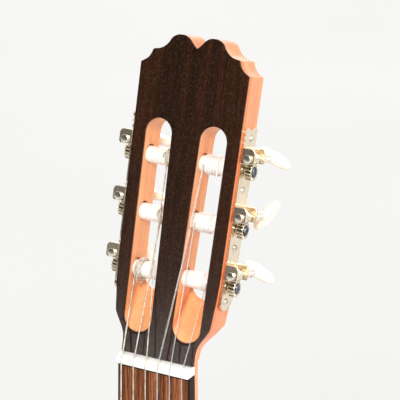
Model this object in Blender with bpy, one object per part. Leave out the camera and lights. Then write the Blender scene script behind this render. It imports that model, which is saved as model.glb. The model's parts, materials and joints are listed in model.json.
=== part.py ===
"""Classical guitar, standing with its neck up. Each wooden part, string and machine part is its own solid.

The constants are in millimetres. Work coordinates start at the edge of the nut that meets the fingerboard:
+X to the treble side, +Z up the neck, and the strings lie on the -Y side. Body positions are given as
distances down from that edge. Everything hangs from one empty, which moves the origin to the yoke seat.
"""

import math

import bmesh
import bpy
from mathutils import Matrix, Vector

MM = 0.001
GAP = 0.3

# Scale and neck
SCALE_LENGTH = 650.0
FRETS = 19
NUT_THICKNESS = 5.5
NUT_HALF_WIDTH = 25.0
JOINT_HALF_WIDTH = 30.5
NECK_LENGTH = 325.0
NECK_DEPTH_AT_NUT = 16.0
NECK_DEPTH_AT_HEEL = 18.0
FINGERBOARD_TOP = -6.5
FRET_HEIGHT = 1.0
NECK_ROUNDNESS = 2.15
HEEL_START = 256.0
HEEL_CAP_START = 298.0
HEEL_CUT = 87.0
HEEL_FULL_DEPTH = 112.0
HEEL_CAP_THICKNESS = 3.5

# Head, in its own frame: x across, w into the head from the veneer face, v up the head from the nut
HEAD_TILT = math.radians(14.7)
HEAD_THICKNESS = 19.5
VENEER_BACK = 2.2
WOOD_FRONT = 2.5
HEAD_CROWN = (
    (0.0, 187.2), (2.5, 189.4), (5.2, 192.3), (7.9, 194.1), (10.8, 194.6), (13.9, 194.2), (17.0, 192.4),
    (19.4, 188.8), (22.2, 186.2), (25.3, 184.8), (28.9, 184.0), (30.2, 181.2), (32.3, 178.3), (36.6, 175.5),
)
HEAD_SHOULDER = (
    (34.4, 42.0), (33.6, 34.0), (32.6, 24.6), (31.2, 21.2), (29.3, 18.0), (27.2, 14.6), (25.6, 11.0),
    (25.0, 7.0),
)
SIDE_HALF_WIDTH = 35.55
SIDE_MIDDLE = 85.5
SIDE_START = 56.0
SIDE_TAPER = 0.0115
SLOT_TOP = (18.7, 134.4, 9.2)
SLOT_BOTTOM = (16.9, 21.2, 9.7)
SLOT_RAMP = 26.0

# Tuning machines, in the head's frame
POST_PITCH = 35.0
FIRST_POST = 50.2
POST_DEPTH = 9.7
WORM_OFFSET = 7.6
ROLLER_RADIUS = 5.2
ROLLER_BEVEL = 0.6
ROLLER_HOLE_RADIUS = 5.6
ROLLER_INNER_END = 5.7
ROLLER_OUTER_GAP = 0.6
SPINDLE_RADIUS = 1.9
SPINDLE_INNER_END = 5.3
SPINDLE_HOLE_RADIUS = 2.5
PLATE_THICKNESS = 1.1
PLATE_BACK = 18.6
# The bass plate and its front tabs reach this much further towards the face of the head
BASS_PLATE_FORWARD = 2.4
GEAR_TEETH = 14
GEAR_PITCH_RADIUS = 4.75
GEAR_TIP_RADIUS = 5.4
GEAR_ROOT_RADIUS = 4.05
GEAR_INNER_FACE = 3.1
GEAR_WIDTH = 4.4
WORM_X = 5.3
WORM_PITCH_RADIUS = 2.85
WORM_TIP_RADIUS = 3.2
WORM_CORE_RADIUS = 1.95
WORM_TURNS = 3.0
WORM_SIDES = 8
# The screws of each plate, as (w, v)
PLATE_SCREWS = ((12.2, 139.4), (11.0, 108.4), (11.0, 73.6), (9.0, 41.0))
TAB_FRONT = 3.1
TAB_BACK = 17.2
TAB_THICKNESS = 1.3
BUTTON_CENTRE = 40.0
BUTTON_HALF_SIZES = (11.5, 7.5, 2.9)
# Wide axis of each button at rest, as an angle from +x towards +v: strings 1 to 6
BUTTON_ANGLES = (-22.0, 57.0, -23.0, -12.0, -6.0, -45.0)

# Body
BODY_LENGTH = 487.0
UPPER_BOUT = (141.0, 92.0)
WAIST = (118.0, 178.0)
LOWER_BOUT = (184.0, 356.0)
DEPTH_AT_NECK = 93.0
DEPTH_AT_TAIL = 98.0
BACK_ARCH = 4.0
BACK_FLAT_HALF = 14.0
BACK_COLUMNS = (-1.0, -0.62, -0.2, 0.2, 0.62, 1.0)
TOP_THICKNESS = 2.5
BACK_THICKNESS = 2.6
RIB_THICKNESS = 2.0
BINDING_WIDTH = 2.0
BINDING_HEIGHT = 6.0
LINING_WIDTH = 6.0
LINING_HEIGHT = 14.0
BLOCK_STEPS = 2
NECK_BLOCK_INNER = 350.0
TAIL_BLOCK_INNER = 796.0
TOP_BARS = (("upper_transverse_bar", 424.0), ("lower_transverse_bar", 538.0))
TOP_BAR_HEIGHT = 15.0
BACK_BRACES = (392.0, 506.0, 668.0)
BACK_BRACE_HEIGHT = 12.0
BRACE_HALF = 4.25
BRACE_END_GAP = 4.0
FAN_PITCH = 36.0
HOLE_CENTRE = 481.0
HOLE_RADIUS = 43.0
ROSETTE_RADII = (46.5, 60.0)
ROSETTE_THICKNESS = 0.9

# Bridge and strings
BRIDGE_SPAN = (640.0, 668.5)
BRIDGE_HALF_LENGTH = 92.5
BRIDGE_CORE_HALF = 41.0
BRIDGE_WING_HEIGHT = 3.6
BRIDGE_HEIGHT = 9.2
SADDLE_HALF_LENGTH = 40.0
SADDLE_THICKNESS = 2.5
SADDLE_AT = 651.0
SADDLE_TOP = -12.3
STRING_SPREAD_AT_NUT = 42.0
STRING_SPREAD_AT_SADDLE = 58.0
STRING_DIAMETERS = (0.72, 0.82, 1.02, 0.76, 0.90, 1.10)
# Where each string meets its roller, as a distance from the head's centre line: strings 1 to 6
WINDING_X = (24.6, 11.6, 12.4, -12.4, -11.6, -24.6)
# The two middle strings bend round the inner edge of their slot here, as (x, w, v) on the treble side
SLOT_EDGE_BEND = (9.9, -1.1, 62.0)
NUT_TOP = -8.4

# The yoke of a wall hanger holds the head at its shoulders
YOKE_SEAT = (0.0, 9.0, 24.0)

COLOURS = {
    "spruce": ((0.80, 0.58, 0.32), 0.35, 0.0),
    "rosewood": ((0.12, 0.05, 0.03), 0.35, 0.0),
    "binding": ((0.10, 0.04, 0.02), 0.4, 0.0),
    "lining": ((0.72, 0.52, 0.30), 0.6, 0.0),
    "mahogany": ((0.62, 0.25, 0.11), 0.38, 0.0),
    "veneer": ((0.035, 0.014, 0.009), 0.32, 0.0),
    "fingerboard": ((0.17, 0.08, 0.05), 0.45, 0.0),
    "bone": ((0.88, 0.86, 0.80), 0.35, 0.0),
    "nickel": ((0.74, 0.70, 0.62), 0.25, 1.0),
    "roller": ((0.90, 0.89, 0.85), 0.35, 0.0),
    "button": ((0.90, 0.86, 0.76), 0.25, 0.0),
    "nylon": ((0.80, 0.80, 0.76), 0.2, 0.0),
    "wound": ((0.62, 0.58, 0.50), 0.3, 1.0),
    "rosette": ((0.35, 0.18, 0.08), 0.4, 0.0),
}


# ---------------------------------------------------------------- helpers

def clear_scene():
    for obj in list(bpy.data.objects):
        bpy.data.objects.remove(obj, do_unlink=True)


def material(name):
    colour, roughness, metallic = COLOURS[name]
    made = bpy.data.materials.get(name)
    if made:
        return made
    made = bpy.data.materials.new(name)
    made.use_nodes = True
    shader = made.node_tree.nodes["Principled BSDF"]
    shader.inputs["Base Color"].default_value = (*colour, 1.0)
    shader.inputs["Roughness"].default_value = roughness
    shader.inputs["Metallic"].default_value = metallic
    return made


def empty(name, parent=None, location=(0.0, 0.0, 0.0), rotation_x=0.0):
    made = bpy.data.objects.new(name, None)
    bpy.context.scene.collection.objects.link(made)
    made.parent = parent
    made.location = Vector(location) * MM
    made.rotation_euler.x = rotation_x
    return made


def piece(name, bm, colour, parent, location=(0.0, 0.0, 0.0), smooth=False):
    """Turns a bmesh in millimetres into a named object in metres."""
    bmesh.ops.recalc_face_normals(bm, faces=bm.faces)
    bmesh.ops.scale(bm, vec=(MM, MM, MM), verts=bm.verts)
    mesh = bpy.data.meshes.new(name)
    bm.to_mesh(mesh)
    bm.free()
    mesh.materials.append(material(colour))
    if smooth:
        mesh.shade_smooth()
        mesh.set_sharp_from_angle(angle=math.radians(35))
    made = bpy.data.objects.new(name, mesh)
    bpy.context.scene.collection.objects.link(made)
    made.parent = parent
    made.location = Vector(location) * MM
    return made


def loft(rings):
    """A closed solid through rings with the same number of points."""
    bm = bmesh.new()
    rows = [[bm.verts.new(point) for point in ring] for ring in rings]
    count = len(rows[0])
    for low, high in zip(rows, rows[1:]):
        for i in range(count):
            j = (i + 1) % count
            bm.faces.new((low[i], low[j], high[j], high[i]))
    bm.faces.new(rows[0])
    bm.faces.new(rows[-1])
    bmesh.ops.recalc_face_normals(bm, faces=bm.faces)
    return bm


def prism(outline, low, high, place):
    """An outline of (a, b) pairs, extruded from low to high; place(a, b, c) gives the point."""
    return loft([[place(a, b, c) for a, b in outline] for c in (low, high)])


def on_front(a, b, c):
    """Outlines across the body: a is x, b the distance down from the nut, and c is y."""
    return (a, c, -b)


def across_body(a, b, c):
    """Sections across the body: a is x, b is y, and c the distance down from the nut."""
    return (a, b, -c)


def on_side(a, b, c):
    """Outlines on the head's side: a is w, b is v, and c is x."""
    return (c, a, b)


def on_head(a, b, c):
    """Outlines across the head: a is x, b is v, and c is w."""
    return (a, c, b)


def box(x, y, z):
    return prism([(x[0], z[0]), (x[1], z[0]), (x[1], z[1]), (x[0], z[1])], y[0], y[1], on_head)


def joined(shapes):
    """One bmesh that holds all these shapes."""
    bm = bmesh.new()
    for shape in shapes:
        mesh = bpy.data.meshes.new("joined")
        shape.to_mesh(mesh)
        shape.free()
        bm.from_mesh(mesh)
        bpy.data.meshes.remove(mesh)
    return bm


def combine(bm, tools, operation):
    """The exact Boolean of a shape with a group of shapes that don't touch each other."""
    target = piece("target", bm, "bone", None)
    tool = piece("tool", joined(tools), "bone", None)
    modifier = target.modifiers.new("combine", "BOOLEAN")
    modifier.operation = operation
    modifier.solver = "EXACT"
    modifier.object = tool
    graph = bpy.context.evaluated_depsgraph_get()
    result = bmesh.new()
    result.from_object(target, graph)
    bmesh.ops.scale(result, vec=(1 / MM, 1 / MM, 1 / MM), verts=result.verts)
    for obj in (target, tool):
        bpy.data.objects.remove(obj, do_unlink=True)
    return result


def cut_plane(bm, point, normal):
    """Removes what lies on the side of a plane that its normal points to, and closes the cut."""
    cut = bmesh.ops.bisect_plane(
        bm, geom=bm.verts[:] + bm.edges[:] + bm.faces[:], plane_co=point, plane_no=normal,
        dist=1e-5, clear_outer=True,
    )
    edges = [item for item in cut["geom_cut"] if isinstance(item, bmesh.types.BMEdge)]
    bmesh.ops.edgenet_fill(bm, edges=edges)
    bmesh.ops.recalc_face_normals(bm, faces=bm.faces)


def arc(centre, radius, start, end, steps):
    """Points on an arc, angles in degrees, both ends included."""
    points = []
    for i in range(steps + 1):
        angle = math.radians(start + (end - start) * i / steps)
        points.append((centre[0] + radius * math.cos(angle), centre[1] + radius * math.sin(angle)))
    return points


def circle(centre, radius, sides):
    return arc(centre, radius, 0, 360, sides)[:-1]


def turned(profile, sides, axis):
    """A solid turned about the X or Y axis from (position, radius) pairs; both ends are flat."""
    rings = []
    for position, radius in profile:
        ring = []
        for i in range(sides):
            angle = 2 * math.pi * i / sides
            a, b = radius * math.sin(angle), radius * math.cos(angle)
            ring.append((position, a, b) if axis == "X" else (a, position, b))
        rings.append(ring)
    return loft(rings)


def mirrored(points):
    """A half outline on +x closed by its mirror image."""
    return points + [(-x, y) for x, y in reversed(points) if x > 0]


def between(a, b, share):
    return a + (b - a) * share


def smooth_step(value):
    value = min(1.0, max(0.0, value))
    return value * value * (3 - 2 * value)


# ---------------------------------------------------------------- body outline

def bezier(start, first, second, end, steps):
    points = []
    for i in range(steps):
        t = i / steps
        weights = ((1 - t) ** 3, 3 * t * (1 - t) ** 2, 3 * t * t * (1 - t), t**3)
        corners = (start, first, second, end)
        points.append(tuple(sum(w * p[k] for w, p in zip(weights, corners)) for k in (0, 1)))
    return points


def half_outline():
    """The treble half of the body's edge, from the neck joint round to the tail."""
    (ux, uy), (wx, wy), (lx, ly) = UPPER_BOUT, WAIST, LOWER_BOUT
    end = BODY_LENGTH
    points = bezier((0, 0), (0.62 * ux, 0), (ux, 0.42 * uy), (ux, uy), 10)
    points += bezier((ux, uy), (ux, uy + 0.42 * (wy - uy)), (wx, uy + 0.62 * (wy - uy)), (wx, wy), 6)
    points += bezier((wx, wy), (wx, wy + 0.40 * (ly - wy)), (lx, wy + 0.55 * (ly - wy)), (lx, ly), 7)
    points += bezier((lx, ly), (lx, ly + 0.56 * (end - ly)), (0.62 * lx, end), (0, end), 11)
    points.append((0.0, end))
    return [(x, NECK_LENGTH + d) for x, d in points]


def offset_half(inset):
    """The half outline moved inwards by a distance, its two ends kept on the centre line."""
    line = half_outline()
    moved = []
    for i, (x, d) in enumerate(line):
        before, after = line[max(i - 1, 0)], line[min(i + 1, len(line) - 1)]
        if i == 0:
            moved.append((0.0, d + inset))
        elif i == len(line) - 1:
            moved.append((0.0, d - inset))
        else:
            along = Vector((after[0] - before[0], after[1] - before[1])).normalized()
            moved.append((x - along.y * inset, d + along.x * inset))
    return moved


def half_width_at(distance, inset=0.0):
    """The body's half width at a distance down from the nut."""
    line = offset_half(inset)
    for (x0, d0), (x1, d1) in zip(line, line[1:]):
        if d0 <= distance <= d1:
            return between(x0, x1, (distance - d0) / (d1 - d0))
    return 0.0


def side_depth(distance):
    """How deep the body is at its edge."""
    return between(DEPTH_AT_NECK, DEPTH_AT_TAIL, (distance - NECK_LENGTH) / BODY_LENGTH)


def back_surface(x, distance):
    """The outer surface of the arched back, flat along its middle."""
    width = max(half_width_at(distance), BACK_FLAT_HALF + 1)
    share = max(0.0, abs(x) - BACK_FLAT_HALF) / (width - BACK_FLAT_HALF)
    return side_depth(distance) + BACK_ARCH * (1 - min(1.0, share) ** 2)


# ---------------------------------------------------------------- body

def make_soundboard(parent):
    edge = mirrored(offset_half(BINDING_WIDTH + GAP))
    bm = prism(edge, 0.0, TOP_THICKNESS, on_front)
    hole = prism(circle((0, HOLE_CENTRE), HOLE_RADIUS, 36), -5, 10, on_front)
    bm = combine(bm, [hole], "DIFFERENCE")
    inner, outer = ROSETTE_RADII
    groove = ring_shape(inner - GAP, outer + GAP, -2.0, ROSETTE_THICKNESS + GAP)
    piece("soundboard", combine(bm, [groove], "DIFFERENCE"), "spruce", parent)
    piece("rosette", ring_shape(inner, outer, 0.0, ROSETTE_THICKNESS), "rosette", parent)


def ring_shape(inner, outer, low, high):
    """A flat ring round the sound hole."""
    outer_wall = prism(circle((0, HOLE_CENTRE), outer, 36), low, high, on_front)
    core = prism(circle((0, HOLE_CENTRE), inner, 36), low - 3, high + 3, on_front)
    return combine(outer_wall, [core], "DIFFERENCE")


def band(outer, inner, front, back):
    """A closed band between two half outlines; front(d) and back(d) give its y limits."""
    rings = []
    for (xo, do), (xi, di) in zip(outer, inner):
        rings.append([(xo, front(do), -do), (xi, front(di), -di), (xi, back(di), -di), (xo, back(do), -do)])
    return rings


def make_binding(name, front, back, parent):
    rings = band(half_outline(), offset_half(BINDING_WIDTH), front, back)
    rings += [[(-x, y, z) for x, y, z in ring] for ring in reversed(rings[1:-1])]
    bm = bmesh.new()
    rows = [[bm.verts.new(point) for point in ring] for ring in rings]
    for low, high in zip(rows, rows[1:] + rows[:1]):
        for i in range(4):
            j = (i + 1) % 4
            bm.faces.new((low[i], low[j], high[j], high[i]))
    piece(name, bm, "binding", parent)


def make_ribs(parent):
    outer, inner = half_outline(), offset_half(RIB_THICKNESS)
    rings = band(
        outer, inner, lambda d: BINDING_HEIGHT + GAP, lambda d: side_depth(d) - BINDING_HEIGHT - GAP
    )
    for end in (0, -1):
        rings[end] = [(x + GAP / 2, y, z) for x, y, z in rings[end]]
    for name, side in (("treble_rib", 1), ("bass_rib", -1)):
        ribs = [[(side * x, y, z) for x, y, z in ring] for ring in rings]
        piece(name, loft(ribs), "rosewood", parent, smooth=True)


def make_linings(parent):
    outer = offset_half(BINDING_WIDTH + GAP)[BLOCK_STEPS + 1:-BLOCK_STEPS - 1]
    inner = offset_half(BINDING_WIDTH + GAP + LINING_WIDTH)[BLOCK_STEPS + 1:-BLOCK_STEPS - 1]
    top = TOP_THICKNESS + GAP
    sets = {
        "top_lining": (lambda d: top, lambda d: top + LINING_HEIGHT),
        "back_lining": (
            lambda d: side_depth(d) - BACK_THICKNESS - GAP - LINING_HEIGHT,
            lambda d: side_depth(d) - BACK_THICKNESS - GAP,
        ),
    }
    for name, (front, back) in sets.items():
        rings = band(outer, inner, front, back)
        for prefix, side in (("treble", 1), ("bass", -1)):
            turned_rings = [[(side * x, y, z) for x, y, z in ring] for ring in rings]
            piece(f"{prefix}_{name}", loft(turned_rings), "lining", parent)


def make_blocks(parent):
    line = offset_half(BINDING_WIDTH + GAP)
    low = TOP_THICKNESS + GAP
    for name, edge, inner in (
        ("neck_block", line[:BLOCK_STEPS + 1], NECK_BLOCK_INNER),
        ("tail_block", line[-BLOCK_STEPS - 1:], TAIL_BLOCK_INNER),
    ):
        width = max(x for x, _ in edge)
        half = edge + [(width, inner)] if edge[0][0] == 0 else [(width, inner)] + edge
        high = side_depth(inner) - BACK_THICKNESS - 2 * GAP
        piece(name, prism(mirrored(half), low, high, on_front), "mahogany", parent)


def back_grid(inset, lift):
    """Rows of points over the back's surface, moved outwards by lift."""
    rows = []
    for x, d in offset_half(inset)[1:-1]:
        columns = [x * share for share in BACK_COLUMNS]
        flat = min(BACK_FLAT_HALF, 0.5 * x)
        columns[2], columns[3] = -flat, flat
        rows.append([(cx, back_surface(cx, d) + lift, -d) for cx in columns])
    return rows


def make_back(parent):
    inset = BINDING_WIDTH + GAP
    rings = []
    for outer, inner in zip(back_grid(inset, 0.0), back_grid(inset, -BACK_THICKNESS)):
        rings.append(outer + inner[::-1])
    piece("back", loft(rings), "rosewood", parent)


def make_braces(parent):
    front = TOP_THICKNESS + GAP
    reach = BINDING_WIDTH + LINING_WIDTH + 2 * GAP
    for name, distance in TOP_BARS:
        half = half_width_at(distance, reach) - BRACE_END_GAP
        top = front + TOP_BAR_HEIGHT
        outline = [(-half, front), (half, front), (half, front + 5), (half - 28, top), (28 - half, top),
                   (-half, front + 5)]
        bar = prism(outline, distance - BRACE_HALF, distance + BRACE_HALF, across_body)
        piece(name, bar, "spruce", parent)
    make_fan(front, parent)
    make_back_braces(reach, parent)


def strut(start, end, width, low, high):
    """A straight brace between two (x, distance) points."""
    along = Vector((end[0] - start[0], end[1] - start[1])).normalized()
    across = Vector((-along.y, along.x)) * width / 2
    corners = []
    for (x, d), sign in ((start, 1), (start, -1), (end, -1), (end, 1)):
        corners.append((x + sign * across.x, d + sign * across.y))
    return prism(corners, low, high, on_front)


def make_fan(front, parent):
    """Seven fan braces, joined by the two closing bars near the tail."""
    start, tail, half_span = 546.0, 768.0, 150.0
    slope = 66.0 / half_span
    fan = []
    for i in range(-3, 4):
        x = i * FAN_PITCH
        fan.append(strut((x * 0.42, start), (x, tail - abs(x) * slope), 5.0, front, front + 4.0))
    bars = []
    for side in (-1, 1):
        ends = ((side * half_span, tail - half_span * slope), (-side * 2, tail))
        bars.append(strut(*ends, 6.0, front, front + 5.0))
    closing = combine(bars[0], bars[1:], "UNION")
    piece("fan_bracing", combine(closing, fan, "UNION"), "spruce", parent)


def make_back_braces(reach, parent):
    strip_half, strip_thick = 9.0, 2.0
    seat = BACK_THICKNESS + 2 * GAP
    for number, distance in enumerate(BACK_BRACES, 1):
        half = half_width_at(distance, reach) - BRACE_END_GAP
        inner = side_depth(distance) - BACK_THICKNESS - BACK_BRACE_HEIGHT
        edge = [-half, -half / 2, -BACK_FLAT_HALF, -strip_half - GAP]
        upper = [(x, back_surface(x, distance) - seat) for x in edge]
        notch = upper[-1][1] - strip_thick - GAP
        outline = upper + [(edge[-1], notch), (-edge[-1], notch)]
        outline += [(-x, y) for x, y in reversed(upper)] + [(half, inner + 7), (half - 24, inner),
                                                            (24 - half, inner), (-half, inner + 7)]
        brace = prism(outline, distance - BRACE_HALF, distance + BRACE_HALF, across_body)
        piece(f"back_brace_{number}", brace, "spruce", parent)
    start, end = NECK_BLOCK_INNER + 2, TAIL_BLOCK_INNER - 2
    rings = []
    for d in (start, end):
        y = side_depth(d) + BACK_ARCH - BACK_THICKNESS - 2 * GAP
        rings.append([(-strip_half, y, -d), (strip_half, y, -d),
                      (strip_half, y - strip_thick, -d), (-strip_half, y - strip_thick, -d)])
    piece("back_centre_strip", loft(rings), "spruce", parent)


def make_bridge(parent):
    front, rear = BRIDGE_SPAN
    wings = box((-BRIDGE_HALF_LENGTH, BRIDGE_HALF_LENGTH), (-BRIDGE_WING_HEIGHT, -GAP), (-rear, -front))
    profile = [(front + 1, -1.0), (front + 2.5, -BRIDGE_HEIGHT + 1.5), (front + 6, -BRIDGE_HEIGHT),
               (front + 14.5, -BRIDGE_HEIGHT), (front + 16, -4.5), (front + 18.5, -4.5),
               (front + 19, -BRIDGE_HEIGHT - 0.4), (rear - 1, -BRIDGE_HEIGHT - 0.4), (rear - 1, -1.0)]
    core = prism(profile, -BRIDGE_CORE_HALF, BRIDGE_CORE_HALF, lambda a, b, c: (c, b, -a))
    bm = combine(wings, [core], "UNION")
    slot_half = SADDLE_THICKNESS / 2 + GAP
    slot = box((-SADDLE_HALF_LENGTH - GAP, SADDLE_HALF_LENGTH + GAP), (-20, -3.0),
               (-SADDLE_AT - slot_half, -SADDLE_AT + slot_half))
    piece("bridge", combine(bm, [slot], "DIFFERENCE"), "rosewood", parent)
    half = SADDLE_THICKNESS / 2
    profile = [(-half, -3.0 - GAP), (half, -3.0 - GAP), (half, SADDLE_TOP + 0.5), (0.3, SADDLE_TOP),
               (-0.3, SADDLE_TOP), (-half, SADDLE_TOP + 0.5)]
    saddle = prism(profile, -SADDLE_HALF_LENGTH, SADDLE_HALF_LENGTH, lambda a, b, c: (c, b, -SADDLE_AT - a))
    piece("saddle", saddle, "bone", parent)


# ---------------------------------------------------------------- neck and head

def neck_half_width(distance):
    return between(NUT_HALF_WIDTH, JOINT_HALF_WIDTH, distance / NECK_LENGTH)


def neck_depth(distance):
    """Depth of the neck behind the fingerboard, sweeping out into the heel."""
    depth = between(NECK_DEPTH_AT_NUT, NECK_DEPTH_AT_HEEL, min(distance, HEEL_START) / HEEL_START)
    if distance <= HEEL_START:
        return depth
    if distance <= HEEL_CAP_START:
        share = (distance - HEEL_START) / (HEEL_CAP_START - HEEL_START)
        return between(depth, HEEL_CUT, 0.3 * share**2 + 0.7 * share**4)
    share = (distance - HEEL_CAP_START) / (NECK_LENGTH - HEEL_CAP_START)
    return between(HEEL_CUT, HEEL_FULL_DEPTH, share)


def head_outline_half():
    """The head's edge on the treble side, from the crown's centre notch down to the nut, as (x, v)."""
    straight = [(side_half_width(v), v) for v in (150.0, SIDE_START)]
    return list(HEAD_CROWN) + straight + list(HEAD_SHOULDER)


def side_half_width(v):
    return SIDE_HALF_WIDTH + (v - SIDE_MIDDLE) * SIDE_TAPER


def shoulder_half_width(v):
    """The head's half width near the nut, read from its outline."""
    points = [(v0, x0) for x0, v0 in reversed(head_outline_half()) if v0 <= SIDE_START]
    for (v0, x0), (v1, x1) in zip(points, points[1:]):
        if v0 <= v <= v1:
            return between(x0, x1, (v - v0) / (v1 - v0))
    return NUT_HALF_WIDTH if v < points[0][0] else SIDE_HALF_WIDTH + 2


def section(half_width, depth, power, steps=16):
    """Half a superellipse: (x, depth behind the front) pairs from one front corner to the other."""
    points = []
    for i in range(steps + 1):
        angle = math.pi * i / steps
        c, s = math.cos(angle), math.sin(angle)
        points.append((
            half_width * math.copysign(abs(c) ** (2 / power), c), depth * abs(s) ** (2 / power)
        ))
    return points


def neck_rings():
    """Sections from the heel to the top of the head; their planes turn with the head near the nut."""
    down = [324.7, 318, 312, 306, 301, 296, 290, 283, 275, 266, 256, 190, 120, 62, 30]
    rings = []
    for d in down:
        ring = section(neck_half_width(d), neck_depth(d), NECK_ROUNDNESS)
        rings.append([(x, min(y, HEEL_CUT), -d) for x, y in ring])
    for p in (-16, -8, -2, 3, 8, 12, 16, 20, 25, 32, 40, 60, 199):
        turn = HEAD_TILT * smooth_step((p + 25) / 50)
        into = Vector((0, math.cos(turn), -math.sin(turn)))
        up = Vector((0, math.sin(HEAD_TILT), math.cos(HEAD_TILT))) if p > 0 else Vector((0, 0, 1))
        front = Vector((0, 0, NUT_THICKNESS)) + up * p - into * min(1.0, max(0.0, p / 3))
        share = smooth_step((p + 20) / 45)
        depth = between(neck_depth(max(0, -p)), HEAD_THICKNESS - WOOD_FRONT + 1.8, share)
        power = 2.2 + 18 * smooth_step((p - 2) / 42) ** 2
        half = (neck_half_width(max(0, -p - NUT_THICKNESS)) if p < 3
                else max(shoulder_half_width(p) + 1.0, NUT_HALF_WIDTH))
        half = 40.0 if p > 24 else half
        ring = section(half, depth, power)
        rings.append([tuple(front + Vector((x, 0, 0)) + into * y) for x, y in ring])
    return rings


def head_origin():
    """Where the veneer's face meets the back edge of the nut."""
    return Vector((0, -WOOD_FRONT * math.cos(HEAD_TILT), NUT_THICKNESS + WOOD_FRONT * math.sin(HEAD_TILT)))


def in_head(bm):
    """Moves a shape from work coordinates into the head's frame."""
    turn = Matrix.Rotation(HEAD_TILT, 4, "X")
    bmesh.ops.transform(bm, matrix=turn @ Matrix.Translation(-head_origin()), verts=bm.verts)


def out_of_head(bm):
    turn = Matrix.Rotation(-HEAD_TILT, 4, "X")
    bmesh.ops.transform(bm, matrix=Matrix.Translation(head_origin()) @ turn, verts=bm.verts)


def slot_outline(side, shift):
    """The slot's edge, wider at its top; shift moves its lower end up the head."""
    tx, tv, tr = SLOT_TOP
    bx, bv, br = SLOT_BOTTOM
    points = arc((tx, tv), tr, 0, 180, 10) + arc((bx, bv + shift), br, 180, 360, 10)
    return [(side * x, v) for x, v in points]


def slot_cutter(side):
    """A slot through the head whose lower end is a ramp that climbs towards the back."""
    slope = SLOT_RAMP / HEAD_THICKNESS
    rings = []
    for w in (-4.0, HEAD_THICKNESS + 4.0):
        rings.append([on_head(x, v, w) for x, v in slot_outline(side, slope * w)])
    return loft(rings)


def post_height(k):
    return FIRST_POST + k * POST_PITCH


def post_holes(side, radius, sides, inner, outer):
    """Cutters for three holes along the posts, between two distances from the centre line or the plate."""
    holes = []
    for k in range(3):
        hole = turned([(side * inner, radius), (side * outer, radius)], sides, "X")
        bmesh.ops.translate(hole, vec=(0, POST_DEPTH, post_height(k)), verts=hole.verts)
        holes.append(hole)
    return holes


def make_neck_and_head(parent, head):
    rings = neck_rings()
    shaft = loft(rings)
    in_head(shaft)
    cut_plane(shaft, (0, HEAD_THICKNESS + GAP, 0), (0, -1, 0))
    out_of_head(shaft)
    cut_plane(shaft, (0, 0, -1.5), (0, 0, 1))
    piece("neck", shaft, "mahogany", parent, smooth=True)

    wood = loft(rings)
    in_head(wood)
    cut_plane(wood, (0, HEAD_THICKNESS, 0), (0, 1, 0))
    cut_plane(wood, (0, WOOD_FRONT, 0), (0, -1, 0))
    half = head_outline_half() + [(45.0, 5.0), (45.0, -100.0)]
    wood = combine(wood, [prism(mirrored(half), -30, 40, on_head)], "INTERSECT")
    wood = combine(wood, [slot_cutter(1), slot_cutter(-1)], "DIFFERENCE")
    holes = []
    for side in (1, -1):
        holes += post_holes(side, ROLLER_HOLE_RADIUS, 18, 4.9, 60.0)
    wood = combine(wood, holes, "DIFFERENCE")
    piece("headstock", wood, "mahogany", head)

    veneer = prism(mirrored(head_outline_half() + [(NUT_HALF_WIDTH, GAP)]), 0.0, VENEER_BACK, on_head)
    veneer = combine(veneer, [slot_cutter(1), slot_cutter(-1)], "DIFFERENCE")
    piece("head_veneer", veneer, "veneer", head)


def make_heel_cap(parent):
    edge = []
    steps = 6
    for i in range(steps + 1):
        d = between(HEEL_CAP_START + 0.6, NECK_LENGTH - GAP, i / steps)
        share = 1 - (HEEL_CUT / neck_depth(d)) ** NECK_ROUNDNESS
        edge.append((neck_half_width(d) * share ** (1 / NECK_ROUNDNESS), d))
    cap = prism(mirrored(edge), HEEL_CUT + GAP, HEEL_CUT + GAP + HEEL_CAP_THICKNESS, on_front)
    piece("heel_cap", cap, "rosewood", parent)


def fret_distance(number):
    return SCALE_LENGTH * (1 - 2 ** (-number / 12))


def make_fingerboard(parent):
    end = fret_distance(FRETS) + 9.0
    half_end = between(NUT_HALF_WIDTH, JOINT_HALF_WIDTH, end / NECK_LENGTH)
    outline = [(-NUT_HALF_WIDTH, GAP), (NUT_HALF_WIDTH, GAP), (half_end, end), (-half_end, end)]
    board = prism(outline, FINGERBOARD_TOP, -GAP, on_front)
    notch = prism(circle((0, HOLE_CENTRE), HOLE_RADIUS + 1, 36), -10, 5, on_front)
    board = combine(board, [notch], "DIFFERENCE")
    frets = []
    top = FINGERBOARD_TOP - FRET_HEIGHT
    profile = [(-1.1, FINGERBOARD_TOP + 1), (-1.1, FINGERBOARD_TOP - 0.3), (-0.5, top), (0.5, top),
               (1.1, FINGERBOARD_TOP - 0.3), (1.1, FINGERBOARD_TOP + 1)]
    for number in range(1, FRETS + 1):
        d = fret_distance(number)
        half = between(NUT_HALF_WIDTH, JOINT_HALF_WIDTH, d / NECK_LENGTH) - 0.4
        frets.append(prism(profile, -half, half, lambda a, b, c, d=d: (c, b, -d - a)))
    piece("fingerboard", combine(board, frets, "UNION"), "fingerboard", parent)


def make_nut(parent):
    profile = [(GAP, -GAP), (GAP, NUT_TOP + 0.4), (1.2, NUT_TOP), (3.0, NUT_TOP + 0.3),
               (NUT_THICKNESS - 0.3, NUT_TOP + 2.4), (NUT_THICKNESS, -4.0), (NUT_THICKNESS, -GAP)]
    nut = prism(profile, -NUT_HALF_WIDTH, NUT_HALF_WIDTH, lambda a, b, c: (c, b, a))
    piece("nut", nut, "bone", parent)


# ---------------------------------------------------------------- strings

def row(number):
    """Which post a string has, counted up the head: strings 1 and 6 have the lowest."""
    return number - 1 if number <= 3 else 6 - number


def head_point(x, w, v):
    """A point of the head's frame in work coordinates."""
    turn = Matrix.Rotation(-HEAD_TILT, 3, "X")
    return head_origin() + turn @ Vector((x, w, v))


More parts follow.
